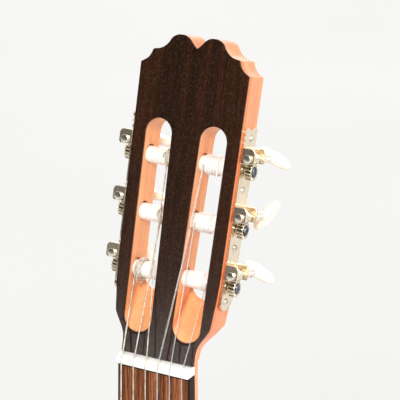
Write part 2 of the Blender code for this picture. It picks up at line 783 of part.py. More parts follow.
def string_route(number):
    """The taut path of a string, in work coordinates: roller, nut, saddle and tie block."""
    share = (number - 1) / 5
    radius = STRING_DIAMETERS[number - 1] / 2
    at_nut = between(STRING_SPREAD_AT_NUT, -STRING_SPREAD_AT_NUT, share) / 2
    at_saddle = between(STRING_SPREAD_AT_SADDLE, -STRING_SPREAD_AT_SADDLE, share) / 2
    front_of_roller = POST_DEPTH - ROLLER_RADIUS - GAP - radius
    route = [head_point(WINDING_X[number - 1], front_of_roller, post_height(row(number)))]
    if number in (3, 4):
        x, w, v = SLOT_EDGE_BEND
        route.append(head_point(math.copysign(x, at_nut), w, v))
    over_nut = NUT_TOP - GAP - radius
    over_saddle = SADDLE_TOP - GAP - radius
    return route + [
        Vector((at_nut, over_nut + 0.9, 4.2)),
        Vector((at_nut, over_nut, 1.8)),
        Vector((at_nut, over_nut, 0.4)),
        Vector((at_saddle, over_saddle, 0.9 - SADDLE_AT)),
        Vector((at_saddle, over_saddle, -0.6 - SADDLE_AT)),
        Vector((at_saddle, over_saddle + 1.0, -2.1 - SADDLE_AT)),
        Vector((at_saddle, -6.6, -7.4 - SADDLE_AT)),
    ]


def make_string(number, parent):
    curve = bpy.data.curves.new(f"string_{number}", "CURVE")
    curve.dimensions = "3D"
    curve.bevel_depth = STRING_DIAMETERS[number - 1] / 2 * MM
    curve.bevel_resolution = 1
    curve.use_fill_caps = True
    route = string_route(number)
    spline = curve.splines.new("POLY")
    spline.points.add(len(route) - 1)
    for point, place in zip(spline.points, route):
        point.co = (*(place * MM), 1.0)
    curve.materials.append(material("nylon" if number <= 3 else "wound"))
    made = bpy.data.objects.new(f"string_{number}", curve)
    bpy.context.scene.collection.objects.link(made)
    made.parent = parent


# ---------------------------------------------------------------- tuning machines

def tab_front(side):
    """Where the face of a machine's front tab lies, behind the face of the head."""
    return TAB_FRONT if side > 0 else TAB_FRONT - BASS_PLATE_FORWARD


def plate_outline(side):
    """A plate as (w, v): scalloped top, round foot, set back where its tabs are folded out."""
    front = []
    for k in range(3):
        v = post_height(k)
        front += [(3.4, v + 4.0), (3.9, v + 5.0), (3.9, v + 13.2), (2.9, v + 14.6)]
        front += [(3.9, v + 16.6), (3.4, v + 17.8)]
    front[-2:] = [(3.9, 138.2), (3.0, 139.6)]
    top = [(3.1, 142.0), (4.2, 145.2), (6.2, 145.8), (8.6, 145.4), (10.8, 144.0), (13.2, 145.5)]
    top += [(15.8, 146.0), (17.8, 145.2), (PLATE_BACK, 143.0)]
    foot = [(PLATE_BACK, 43.6), (17.6, 41.2), (15.2, 37.9), (12.0, 36.0), (9.0, 35.5), (6.0, 36.2)]
    foot += [(4.0, 37.8), (3.4, 39.5)]
    forward = TAB_FRONT - tab_front(side)
    return [(w - forward * min(1.0, max(0.0, (10 - w) / 5)), v) for w, v in front + top + foot]


def tab_shape(side, v, low):
    """A bearing tab folded out of the plate, with the worm's hole in it."""
    inner, x = 0.8, WORM_X
    outline = [(inner, v - 3.1), (x + 2.4, v - 3.1), (x + 3.7, v - 1.6)]
    outline += arc((x + 1.2, v + 3.6), 2.5, 0, 90, 3) + [(inner, v + 6.1)]
    tab = prism([(side * a, b) for a, b in outline], low, low + TAB_THICKNESS, on_head)
    hole = prism(circle((side * x, v), 1.8, 8), low - 3, low + 5, on_head)
    return combine(tab, [hole], "DIFFERENCE")


def make_plate(name, side, head):
    """Plate, six bearing tabs and four screw heads, all leaning with the head's tapered side."""
    bm = prism(plate_outline(side), side * GAP, side * (GAP + PLATE_THICKNESS), on_side)
    bm = combine(bm, post_holes(side, SPINDLE_HOLE_RADIUS, 12, -5.0, 5.0), "DIFFERENCE")
    tabs = []
    for k in range(3):
        tabs += [tab_shape(side, post_height(k) + WORM_OFFSET, low) for low in (tab_front(side), TAB_BACK)]
    bm = combine(bm, tabs, "UNION")
    heads = []
    for w, v in PLATE_SCREWS:
        face = side * (GAP + PLATE_THICKNESS)
        screw = turned([(face - side * 0.5, 2.3), (face + side * 0.5, 2.3), (face + side * 1.0, 1.4)], 8, "X")
        bmesh.ops.translate(screw, vec=(0, w, v), verts=screw.verts)
        heads.append(screw)
    bm = combine(bm, heads, "UNION")
    for vertex in bm.verts:
        vertex.co.x += side * side_half_width(vertex.co.z)
    piece(name, bm, "nickel", head)


def gear_outline():
    """The gear's edge as (radius, angle) pairs, one tooth pointing straight up."""
    root, tip = GEAR_ROOT_RADIUS, GEAR_TIP_RADIUS
    edge = []
    for k in range(GEAR_TEETH):
        middle = 90 + k * 360 / GEAR_TEETH
        for radius, angle in ((root, -9.2), (tip, -3.6), (tip, 3.6), (root, 9.2)):
            edge.append((radius, math.radians(middle + angle)))
    return edge


def make_gear(number, side, post, x0):
    """Worm wheel with its spindle and the screw that holds it; teeth lie along the worm's thread."""
    lead = worm_pitch() / (2 * math.pi * WORM_PITCH_RADIUS)
    faces = (x0 + side * GEAR_INNER_FACE, x0 + side * (GEAR_INNER_FACE + GEAR_WIDTH))
    middle = sum(faces) / 2
    rings = []
    for x in faces:
        turn = lead * (x - middle) / GEAR_PITCH_RADIUS
        rings.append([(x, r * math.cos(a + turn), r * math.sin(a + turn)) for r, a in gear_outline()])
    gear = loft(rings)
    end = faces[1]
    profile = [(side * SPINDLE_INNER_END, SPINDLE_RADIUS), (end - side * 1.0, SPINDLE_RADIUS)]
    screw = [(end - side * 1.0, 2.9), (end + side * 0.7, 2.9), (end + side * 1.0, 2.3)]
    gear = combine(gear, [turned(profile, 8, "X")], "UNION")
    gear = combine(gear, [turned(screw, 10, "X")], "UNION")
    piece(f"gear_{number}", gear, "nickel", post)


def make_roller(number, side, post):
    """A sleeve on the spindle; its ends turn in the holes through the head's wood."""
    a = side * ROLLER_INNER_END
    b = side * (side_half_width(post_height(row(number))) - ROLLER_OUTER_GAP)
    small, bevel = ROLLER_RADIUS - ROLLER_BEVEL, side * ROLLER_BEVEL
    profile = [(a, small), (a + bevel, ROLLER_RADIUS), (b - bevel, ROLLER_RADIUS), (b, small)]
    roller = turned(profile, 16, "X")
    hole = SPINDLE_RADIUS + GAP
    bore = turned([(a - side * 2, hole), (b + side * 2, hole)], 12, "X")
    piece(f"roller_{number}", combine(roller, [bore], "DIFFERENCE"), "roller", post, smooth=True)


def worm_pitch():
    return 2 * math.pi * GEAR_PITCH_RADIUS / GEAR_TEETH


def worm_thread():
    """One right-hand thread about the Y axis, centred on the gear."""
    pitch = worm_pitch()
    steps = int(WORM_TURNS * WORM_SIDES)
    root, tip = 0.58, 0.22
    foot = WORM_CORE_RADIUS - 0.4
    rings = []
    for i in range(steps + 1):
        turn = WORM_TURNS * (i / steps - 0.5)
        angle = 2 * math.pi * turn
        middle = POST_DEPTH + pitch * turn
        ring = []
        for radius, shift in ((foot, -root), (WORM_TIP_RADIUS, -tip), (WORM_TIP_RADIUS, tip), (foot, root)):
            ring.append((radius * math.sin(angle), middle + shift, radius * math.cos(angle)))
        rings.append(ring)
    return loft(rings)


def make_worm(number, knob):
    """Worm, its bearings in the two tabs, and the turned collar and bead behind them."""
    front = tab_front(1 if number <= 3 else -1)
    core_front, core_back = TAB_FRONT + TAB_THICKNESS + GAP, TAB_BACK - GAP
    collar = TAB_BACK + TAB_THICKNESS + GAP
    profile = [
        (front - 1.8, 2.3), (front - GAP, 2.3), (front - GAP, 1.3), (core_front, 1.3),
        (core_front, WORM_CORE_RADIUS), (core_back, WORM_CORE_RADIUS), (core_back, 1.3), (collar, 1.3),
        (collar, 3.1), (collar + 3.0, 3.1), (collar + 3.6, 2.4), (collar + 6.4, 2.8), (28.0, 1.7),
        (29.3, 2.7), (31.6, 2.7), (33.0, 1.9),
    ]
    shaft = turned(profile, WORM_SIDES, "Y")
    piece(f"worm_{number}", combine(shaft, [worm_thread()], "UNION"), "nickel", knob)


def make_button(number, knob):
    """An oval grip with a rounded rim, turned to its angle at rest."""
    wide, long, thick = BUTTON_HALF_SIZES
    angle = math.radians(BUTTON_ANGLES[number - 1])
    low = BUTTON_CENTRE - long
    levels = ((-1.0, 0.62), (-0.62, 0.94), (0.0, 1.0), (0.62, 0.94), (1.0, 0.62))
    rings = []
    for level, share in levels:
        ring = []
        for i in range(14):
            a = 2 * math.pi * i / 14
            x, y, z = wide * share * math.cos(a), long * share * math.sin(a), thick * level
            turned_x = x * math.cos(angle) - z * math.sin(angle)
            turned_z = x * math.sin(angle) + z * math.cos(angle)
            ring.append((turned_x, max(BUTTON_CENTRE + y, low + 0.9), turned_z))
        rings.append(ring)
    piece(f"button_{number}", loft(rings), "button", knob, smooth=True)


def make_tuner(number, head):
    """String 1 is on the lowest treble post, and string 6 on the lowest bass post."""
    side = 1 if number <= 3 else -1
    v = post_height(row(number))
    x0 = side * side_half_width(v)
    post = empty(f"post_{number}_axis", head, (0.0, POST_DEPTH, v))
    knob = empty(f"knob_{number}_axis", head, (x0 + side * WORM_X, 0.0, v + WORM_OFFSET))
    make_gear(number, side, post, x0)
    make_roller(number, side, post)
    make_worm(number, knob)
    make_button(number, knob)


# ---------------------------------------------------------------- assembly

def main():
    clear_scene()
    guitar = empty("guitar", location=[-value for value in YOKE_SEAT])
    head = empty("head_frame", guitar, head_origin(), -HEAD_TILT)
    make_soundboard(guitar)
    make_binding("top_binding", lambda d: 0.0, lambda d: BINDING_HEIGHT, guitar)
    make_binding("back_binding", lambda d: side_depth(d) - BINDING_HEIGHT, side_depth, guitar)
    make_ribs(guitar)
    make_linings(guitar)
    make_blocks(guitar)
    make_back(guitar)
    make_braces(guitar)
    make_bridge(guitar)
    make_neck_and_head(guitar, head)
    make_heel_cap(guitar)
    make_fingerboard(guitar)
    make_nut(guitar)
    for number in range(1, 7):
        make_string(number, guitar)
    make_plate("treble_machine_plate", 1, head)
    make_plate("bass_machine_plate", -1, head)
    for number in range(1, 7):
        make_tuner(number, head)


main()
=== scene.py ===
"""Looks of a classical guitar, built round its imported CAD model.

Lengths are in millimetres and turn into metres when a mesh is made. Only the camera, the lights and
the floor are placed in metres. Two sets of axes are used:
body axes start where the nut meets the fingerboard (+X treble, +Y towards the back, +Z up the neck),
and head axes lie in the tilted head: x across, w into the wood from its face, v up from the nut.
"""

import json
import math

import bmesh
import bpy
from mathutils import Matrix, Quaternion, Vector


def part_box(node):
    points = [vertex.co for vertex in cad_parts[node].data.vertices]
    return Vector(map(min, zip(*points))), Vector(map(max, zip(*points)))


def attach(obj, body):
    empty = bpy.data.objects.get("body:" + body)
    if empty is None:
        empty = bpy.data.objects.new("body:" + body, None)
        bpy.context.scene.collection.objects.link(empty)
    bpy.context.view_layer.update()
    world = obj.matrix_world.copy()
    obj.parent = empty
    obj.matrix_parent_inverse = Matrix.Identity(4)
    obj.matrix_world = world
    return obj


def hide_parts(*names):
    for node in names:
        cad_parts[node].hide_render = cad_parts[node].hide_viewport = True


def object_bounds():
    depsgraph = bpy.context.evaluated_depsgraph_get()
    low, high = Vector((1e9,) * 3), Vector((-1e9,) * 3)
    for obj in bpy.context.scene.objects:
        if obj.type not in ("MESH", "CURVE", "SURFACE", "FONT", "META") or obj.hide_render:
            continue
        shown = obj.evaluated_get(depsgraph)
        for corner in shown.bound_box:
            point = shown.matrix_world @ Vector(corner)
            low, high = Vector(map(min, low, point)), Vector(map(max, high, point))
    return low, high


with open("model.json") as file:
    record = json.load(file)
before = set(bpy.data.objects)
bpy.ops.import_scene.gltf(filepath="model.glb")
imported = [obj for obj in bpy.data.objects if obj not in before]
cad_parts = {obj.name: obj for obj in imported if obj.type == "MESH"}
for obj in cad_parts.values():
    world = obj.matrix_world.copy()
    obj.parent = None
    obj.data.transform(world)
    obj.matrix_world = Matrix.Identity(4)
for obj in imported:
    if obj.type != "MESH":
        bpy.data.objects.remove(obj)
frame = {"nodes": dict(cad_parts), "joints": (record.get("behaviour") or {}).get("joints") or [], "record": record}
CAD_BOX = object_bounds()

MM = 0.001
JOINTS = {joint["name"]: joint for joint in frame["joints"]}
BODY = next(iter(frame["record"]["behaviour"]["bodies"]))
STRINGS = range(1, 7)
FLAT_FACE_CORNERS = 9  # a face with this many corners or more is the flat end of a solid

# Head and tuning machines
POST_DEPTH = 9.7
FIRST_POST = 50.2
POST_PITCH = 35.0
WORM_RISE = 7.6
HEAD_THICKNESS = 19.5
VENEER = 1.1
WOOD_FRONT = 1.35
HEAD_CROWN = (
    (0.0, 187.2), (2.5, 189.4), (5.2, 192.3), (7.9, 194.1), (10.8, 194.6), (13.9, 194.2), (17.0, 192.4),
    (19.4, 188.8), (22.2, 186.2), (25.3, 184.8), (28.9, 184.0), (30.2, 181.2), (32.3, 178.3), (36.6, 175.5),
)
HEAD_SHOULDER = (
    (35.2, 56.0), (34.4, 42.0), (33.6, 34.0), (32.6, 24.6), (31.2, 21.2), (29.3, 18.0), (27.2, 14.6),
    (25.6, 11.0), (25.0, 7.0),
)
SLOT_TOP = (18.7, 134.4, 9.2)
SLOT_BOTTOM = (16.9, 21.2, 9.7)
SLOT_RAMP = 26.0
SLOT_WALLS_X = (8.0, 29.0)
SLOT_WALLS_V = (10.0, 146.0)
ROLLER_RADIUS = 5.2
ROLLER_HOLE = 5.9
GEAR_TEETH = 14
GEAR_PITCH_RADIUS = 4.75
WORM_PITCH_RADIUS = 2.85
WORM_PITCH = 2 * math.pi * GEAR_PITCH_RADIUS / GEAR_TEETH
GEAR_INNER_FACE = 3.1
GEAR_WIDTH = 4.4
PLATE_GAP = 0.15
PLATE_THICKNESS = 1.25
BASS_PLATE_FORWARD = 2.4
PLATE_BACK = 18.6
PLATE_SCREWS = ((12.2, 139.4), (11.0, 108.4), (11.0, 73.6), (9.0, 41.0))
PLATE_SCREW_HEAD = ((-0.3, 2.0), (0.15, 2.2), (0.5, 2.0), (0.85, 1.45), (1.0, 0.8), (1.05, 0.0))
WHEEL_SCREW_HEAD = ((-0.6, 2.9), (0.25, 2.9), (0.6, 2.6), (0.85, 1.9), (0.95, 0.9), (1.0, 0.0))
SHAFT_OFFSET = 5.3
BUTTON_CENTRE = 40.0
BUTTON_ANGLES = (-22.0, 57.0, -23.0, -12.0, -6.0, -45.0)

# Neck, nut and fingerboard
SCALE_LENGTH = 650.0
FRETS = 19
NECK_LENGTH = 325.0
NUT_THICKNESS = 5.5
NUT_HALF_WIDTH = 25.0
JOINT_HALF_WIDTH = 30.5
FINGERBOARD_TOP = -6.5
NECK_DEPTHS = (16.0, 18.0)
NECK_ROUNDNESS = 2.15
HEEL_START, HEEL_CAP_START, HEEL_CUT, HEEL_FULL = 256.0, 298.0, 87.0, 112.0

# Sound box
BODY_LENGTH = 487.0
BODY_MIDDLE = 550.0
BODY_END = NECK_LENGTH + BODY_LENGTH
UPPER_BOUT = (141.0, 92.0)
WAIST = (118.0, 178.0)
LOWER_BOUT = (184.0, 356.0)
SIDE_DEPTHS = (93.0, 98.0)
BACK_ARCH = 4.0
BACK_FLAT_HALF = 14.0
BINDING_WIDTH = 2.0
BINDING_HEIGHT = 6.0
LINE_HEIGHT = 0.6
HOLE_CENTRE = 481.0
HOLE_RADIUS = 43.0
ROSETTE_RADII = (46.5, 60.0)
BRIDGE_SPAN = (640.0, 668.5)
BRIDGE_HALF = 92.5
BRIDGE_CORE_HALF = 41.0
SADDLE_AT = 651.0
SADDLE_TOP = -12.3

# Strings 1 to 6, thin to thick
STRING_DIAMETERS = (0.72, 0.82, 1.02, 0.76, 0.90, 1.10)
STRING_SPREADS = (42.0, 58.0)
WINDING_X = (24.6, 11.6, 12.4, -12.4, -11.6, -24.6)
SLOT_EDGE_BEND = (9.9, -1.1, 62.0)
OVER_NUT = -8.7
# The knot over the tie block: x from where the string leaves the saddle, y, and z from the bridge's rear edge
TIE_KNOT = (
    (0.0, -6.6, 1.0), (0.0, -6.7, -0.4), (0.2, -7.8, -1.1), (0.5, -9.8, -0.6), (0.9, -10.9, 1.6),
    (1.3, -11.1, 5.0), (1.3, -10.7, 9.6), (0.6, -9.2, 11.0), (-0.9, -8.2, 11.1), (-1.6, -8.8, 11.0),
    (-1.8, -10.6, 9.0), (-1.9, -10.9, 5.0), (-3.0, -10.9, 2.4),
)
# For each string: turns on the roller, how far each moves outwards, how loose they are, and the tail's own
# points (x from where the turns end, and w, v from the post)
WINDINGS = {
    1: (4.25, -1.05, 0.04, ((0.3, 1.5, -6.5), (0.9, 2.0, -9.5))),
    2: (5.25, 1.9, 0.04, ((1.0, -5.9, 2.0), (2.4, -7.0, 0.5))),
    3: (5.25, 1.75, 0.04, ((0.8, -6.8, 1.2), (1.3, -6.9, -3.5), (0.7, -6.0, -8.5))),
    4: (2.25, -0.85, 0.04, ((-0.4, -6.2, 2.6), (-1.0, -6.6, 0.2))),
    5: (2.25, -0.95, 0.04, ((-0.3, -6.4, 2.2), (-0.7, -6.8, -0.6))),
    6: (4.25, 0.85, 0.75, ((-0.8, -6.8, -2.0), (-1.6, -6.2, -6.4), (-1.8, -2.4, -8.8), (-1.0, 0.6, -7.2))),
}

# Camera, in metres
CAMERA_PLACE = (0.48285, -0.82391, 0.41303)
CAMERA_FORWARD = (-0.46024, 0.82441, -0.32945)
CAMERA_UP = (-0.15814, 0.28903, 0.94417)
CAMERA_ROLL = -0.45
CAMERA_LENS = 154.5


# ---------------------------------------------------------------- axes of the frame

def head_axes():
    """The head's axes in the frame, in millimetres, from a knob's axis and a post's place."""
    across = Vector((1, 0, 0))
    into = Vector(JOINTS["knob_1_turn"]["axis"])
    up = across.cross(into)
    post = Vector(JOINTS["post_1_turn"]["pos_m"]) / MM
    origin = post - across * post.x - into * POST_DEPTH - up * FIRST_POST
    turn = Matrix((across, into, up)).transposed().to_4x4()
    return Matrix.Translation(origin) @ turn


def body_axes():
    low_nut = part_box("nut")[0].z / MM
    back_of_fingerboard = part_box("fingerboard")[1].y / MM
    gap = 0.3
    return Matrix.Translation((0, back_of_fingerboard + gap, low_nut - gap))


HEAD = head_axes()
WORK = body_axes()
HEAD_TO_WORK = WORK.inverted() @ HEAD
HEAD_TILT = math.atan2(-HEAD[2][1], HEAD[1][1])


def head_point(x, w, v):
    """A point of the head in body axes."""
    return HEAD_TO_WORK @ Vector((x, w, v))


# ---------------------------------------------------------------- mesh helpers

def between(a, b, share):
    return a + (b - a) * share


def smooth_step(value):
    value = min(1.0, max(0.0, value))
    return value * value * (3 - 2 * value)


def arc(centre, radius, start, end, steps):
    points = []
    for i in range(steps + 1):
        angle = math.radians(between(start, end, i / steps))
        points.append((centre[0] + radius * math.cos(angle), centre[1] + radius * math.sin(angle)))
    return points


def circle(centre, radius, sides):
    return arc(centre, radius, 0, 360, sides)[:-1]


def smooth_line(points, steps, closed=False):
    """A Catmull-Rom curve through points of any dimension."""
    line = [Vector(point) for point in points]
    count = len(line)
    made = []
    for i in range(count if closed else count - 1):
        b, c = line[i], line[(i + 1) % count]
        a = line[i - 1] if closed or i else b * 2 - c
        d = line[(i + 2) % count] if closed or i + 2 < count else c * 2 - b
        for k in range(steps):
            t = k / steps
            made.append(0.5 * (b * 2 + (c - a) * t + (a * 2 - b * 5 + c * 4 - d) * t * t
                               + (b * 3 - a - c * 3 + d) * t**3))
    if not closed:
        made.append(line[-1])
    return [tuple(point) for point in made]


def mirrored(points):
    return list(points) + [(-x, y) for x, y in reversed(points) if x > 1e-6]


def loft(rings, closed=False):
    """A solid through rings of equal length; a closed one joins its last ring to the first."""
    bm = bmesh.new()
    rows = [[bm.verts.new(point) for point in ring] for ring in rings]
    count = len(rows[0])
    pairs = list(zip(rows, rows[1:]))
    if closed:
        pairs.append((rows[-1], rows[0]))
    for low, high in pairs:
        for i in range(count):
            j = (i + 1) % count
            bm.faces.new((low[i], low[j], high[j], high[i]))
    if not closed:
        bm.faces.new(rows[0])
        bm.faces.new(rows[-1])
    bmesh.ops.recalc_face_normals(bm, faces=bm.faces)
    return bm


def on_front(a, b, c):
    return (a, c, -b)


def on_head(a, b, c):
    return (a, c, b)


def on_side(a, b, c):
    return (c, a, b)


def prism(outline, low, high, place):
    return loft([[place(a, b, c) for a, b in outline] for c in (low, high)])


def box(x, y, z):
    return prism([(x[0], z[0]), (x[1], z[0]), (x[1], z[1]), (x[0], z[1])], y[0], y[1], on_head)


def turned(profile, sides, axis):
    """A turned solid from (position, radius) pairs; a radius of zero makes a point."""
    bm = bmesh.new()
    rows = []
    for position, radius in profile:
        row = []
        for i in range(sides if radius > 0 else 1):
            angle = 2 * math.pi * i / sides
            a, b = radius * math.sin(angle), radius * math.cos(angle)
            row.append(bm.verts.new((position, a, b) if axis == "X" else (a, position, b)))
        rows.append(row)
    for low, high in zip(rows, rows[1:]):
        for i in range(sides):
            j = (i + 1) % sides
            corners = [low[i % len(low)], low[j % len(low)], high[j % len(high)], high[i % len(high)]]
            bm.faces.new(list(dict.fromkeys(corners)))
    for row in (rows[0], rows[-1]):
        if len(row) > 1:
            bm.faces.new(row)
    bmesh.ops.recalc_face_normals(bm, faces=bm.faces)
    return bm


def tube(points, radius, sides=10):
    """A round rod along points."""
    line = [Vector(point) for point in points]
    rings = []
    normal = (line[1] - line[0]).orthogonal().normalized()
    for i, point in enumerate(line):
        along = (line[min(i + 1, len(line) - 1)] - line[max(i - 1, 0)]).normalized()
        normal = (normal - along * normal.dot(along)).normalized()
        side = along.cross(normal)
        ring = []
        for k in range(sides):
            angle = 2 * math.pi * k / sides
            ring.append(point + (normal * math.cos(angle) + side * math.sin(angle)) * radius)
        rings.append(ring)
    return loft(rings)


def joined(shapes):
    bm = bmesh.new()
    for shape in shapes:
        mesh = bpy.data.meshes.new("joined")
        shape.to_mesh(mesh)
        shape.free()
        bm.from_mesh(mesh)
        bpy.data.meshes.remove(mesh)
    return bm


def linked(name, data):
    made = bpy.data.objects.new(name, data)
    bpy.context.scene.collection.objects.link(made)
    return made


def scratch_object(bm):
    mesh = bpy.data.meshes.new("scratch")
    bm.to_mesh(mesh)
    bm.free()
    return linked("scratch", mesh)


def combine(bm, tools, operation):
    """The exact Boolean of a shape with a group of shapes."""
    target, tool = scratch_object(bm), scratch_object(joined(tools))
    modifier = target.modifiers.new("combine", "BOOLEAN")
    modifier.operation = operation
    modifier.solver = "EXACT"
    modifier.use_self = len(tools) > 1
    modifier.object = tool
    result = bmesh.new()
    result.from_object(target, bpy.context.evaluated_depsgraph_get())
    for obj in (target, tool):
        bpy.data.objects.remove(obj, do_unlink=True)
    bmesh.ops.remove_doubles(result, verts=result.verts, dist=0.002)
    return result


def cut_plane(bm, point, normal):
    cut = bmesh.ops.bisect_plane(
        bm, geom=bm.verts[:] + bm.edges[:] + bm.faces[:], plane_co=point, plane_no=normal,
        dist=1e-5, clear_outer=True,
    )
    edges = [item for item in cut["geom_cut"] if isinstance(item, bmesh.types.BMEdge)]
    bmesh.ops.edgenet_fill(bm, edges=edges)
    bmesh.ops.recalc_face_normals(bm, faces=bm.faces)


def soften(bm, width, segments=2, angle=40):
    """Rounds every edge sharper than an angle."""
    limit = math.radians(angle)
    edges = [e for e in bm.edges if len(e.link_faces) == 2 and e.calc_face_angle() > limit]
    bmesh.ops.bevel(
        bm, geom=edges, offset=width, offset_type="OFFSET", segments=segments, profile=0.5,
        affect="EDGES", clamp_overlap=True,
    )
    return bm


def moved(bm, matrix):
    bmesh.ops.transform(bm, matrix=matrix, verts=bm.verts)
    return bm


def piece(name, bm, axes, finish, body=BODY, replaces=(), smooth=35):
    """A finished mesh piece that rides on a body and takes the given material."""
    moved(bm, Matrix.Scale(MM, 4) @ axes)
    bmesh.ops.recalc_face_normals(bm, faces=bm.faces)
    mesh = bpy.data.meshes.new(name)
    bm.to_mesh(mesh)
    bm.free()
    mesh.materials.append(finish)
    mesh.shade_smooth()
    mesh.set_sharp_from_angle(angle=math.radians(smooth))
    for face in mesh.polygons:
        face.use_smooth = len(face.vertices) < FLAT_FACE_CORNERS
    made = linked(name, mesh)
    normals = made.modifiers.new("face_weighted_normals", "WEIGHTED_NORMAL")
    normals.keep_sharp = True
    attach(made, body)
    if replaces:
        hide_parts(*replaces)
    return made


# ---------------------------------------------------------------- materials

SOCKETS = {
    "colour": "Base Color", "coat": "Coat Weight", "subsurface": "Subsurface Weight",
    "radius": "Subsurface Radius", "transmission": "Transmission Weight", "ior": "IOR",
    "specular": "Specular IOR Level",
}


class Nodes:
    """Short calls for a material's node tree."""

    def __init__(self, name):
        self.material = bpy.data.materials.new(name)
        self.material.use_nodes = True
        self.tree = self.material.node_tree
        self.shader = self.tree.nodes["Principled BSDF"]
        self.coords = self.add("TexCoord").outputs["Object"]

    def add(self, kind, inputs=None, **values):
        """A new node with its own values, and inputs that are wired or set."""
        node = self.tree.nodes.new("ShaderNode" + kind)
        for key, value in values.items():
            setattr(node, key, value)
        for name, value in (inputs or {}).items():
            self.wire(value, node.inputs[name])
        return node

    def wire(self, value, socket):
        if isinstance(value, bpy.types.NodeSocket):
            self.tree.links.new(value, socket)
        else:
            socket.default_value = value

    def mapped(self, scale=(1, 1, 1), turn=0.0, move=(0, 0, 0)):
        """Object coordinates in millimetres, moved, turned about X and then scaled."""
        back = [-value for value in move]
        first = self.add("Mapping", {"Vector": self.coords, "Location": back, "Rotation": (turn, 0, 0),
                                     "Scale": (1 / MM,) * 3})
        return self.add("Mapping", {"Vector": first.outputs["Vector"], "Scale": scale}).outputs["Vector"]

    def split(self, vector):
        """The X, Y and Z sockets of a vector."""
        return self.add("SeparateXYZ", {"Vector": vector}).outputs

    def noise(self, vector, scale, detail=3.0, rough=0.55, distortion=0.0):
        inputs = {"Vector": vector, "Scale": scale, "Detail": detail, "Roughness": rough,
                  "Distortion": distortion}
        return self.add("TexNoise", inputs).outputs["Fac"]

    def wave(self, vector, scale, direction="X", distortion=0.0, detail=2.0, detail_scale=1.0):
        inputs = {"Vector": vector, "Scale": scale, "Distortion": distortion, "Detail": detail,
                  "Detail Scale": detail_scale}
        return self.add("TexWave", inputs, wave_type="BANDS", bands_direction=direction).outputs["Fac"]

    def remap(self, value, low, high, to_low, to_high, smooth=False):
        inputs = {"Value": value, "From Min": low, "From Max": high, "To Min": to_low, "To Max": to_high}
        kind = "SMOOTHSTEP" if smooth else "LINEAR"
        return self.add("MapRange", inputs, interpolation_type=kind).outputs["Result"]

    def math(self, operation, a, b=0.0):
        return self.add("Math", {0: a, 1: b}, operation=operation).outputs["Value"]

    def ramp(self, value, stops, interpolation="LINEAR"):
        node = self.add("ValToRGB")
        node.color_ramp.interpolation = interpolation
        elements = node.color_ramp.elements
        elements.remove(elements[1])
        elements[0].position = stops[0][0]
        elements[0].color = (*stops[0][1], 1.0)
        for position, colour in stops[1:]:
            elements.new(position).color = (*colour, 1.0)
        self.wire(value, node.inputs["Fac"])
        return node.outputs["Color"]

    def mix(self, share, a, b):
        node = self.add("Mix", {"Factor": share}, data_type="RGBA")
        colours = [socket for socket in node.inputs if socket.type == "RGBA"]
        for socket, value in zip(colours, (a, b)):
            self.wire(value if isinstance(value, bpy.types.NodeSocket) else (*value, 1.0), socket)
        return [socket for socket in node.outputs if socket.type == "RGBA"][0]

    def bump(self, height, strength, distance):
        inputs = {"Height": height, "Strength": strength, "Distance": distance * MM}
        return self.add("Bump", inputs).outputs["Normal"]

    def set(self, **values):
        """Wires or sets the shader's inputs, and gives back the material."""
        for key, value in values.items():
            name = SOCKETS.get(key, key.replace("_", " ").title())
            self.wire(value, self.shader.inputs[name])
        return self.material


def painted_side_shade(n):
    """A mask for painted shade: 1 on the head's outer sides close behind its front face, fading out towards the
    back.
    """
    x, y, _ = n.split(n.mapped(turn=HEAD_TILT))
    behind = n.math("ADD", y, HEAD.inverted().translation.y)
    wavy = n.math("ADD", behind, n.noise(n.mapped(), 0.25, 2.0))
    near = n.remap(wavy, 4.2, 5.6, 0.8, 0.0, True)
    outside = n.math("GREATER_THAN", n.math("ABSOLUTE", x), SLOT_WALLS_X[1])
    return n.math("MULTIPLY", near, outside)


def dark_edges_and_nut_shadow(n):
    """1 along the fingerboard's long edges, which are made darker, and next to the nut, where the dark band is the
    nut's painted shadow.
    """
    at_side, at_nut = 1.2, 1.7
    x, _, z = n.split(n.mapped(move=WORK.translation))
    taper = (NUT_HALF_WIDTH - JOINT_HALF_WIDTH) / NECK_LENGTH
    half = n.math("ADD", n.math("MULTIPLY", z, taper), NUT_HALF_WIDTH - at_side)
    outside = n.math("GREATER_THAN", n.math("ABSOLUTE", x), half)
    # the band next to the nut is painted shadow of the nut
    return n.math("MAXIMUM", outside, n.math("GREATER_THAN", z, -at_nut))


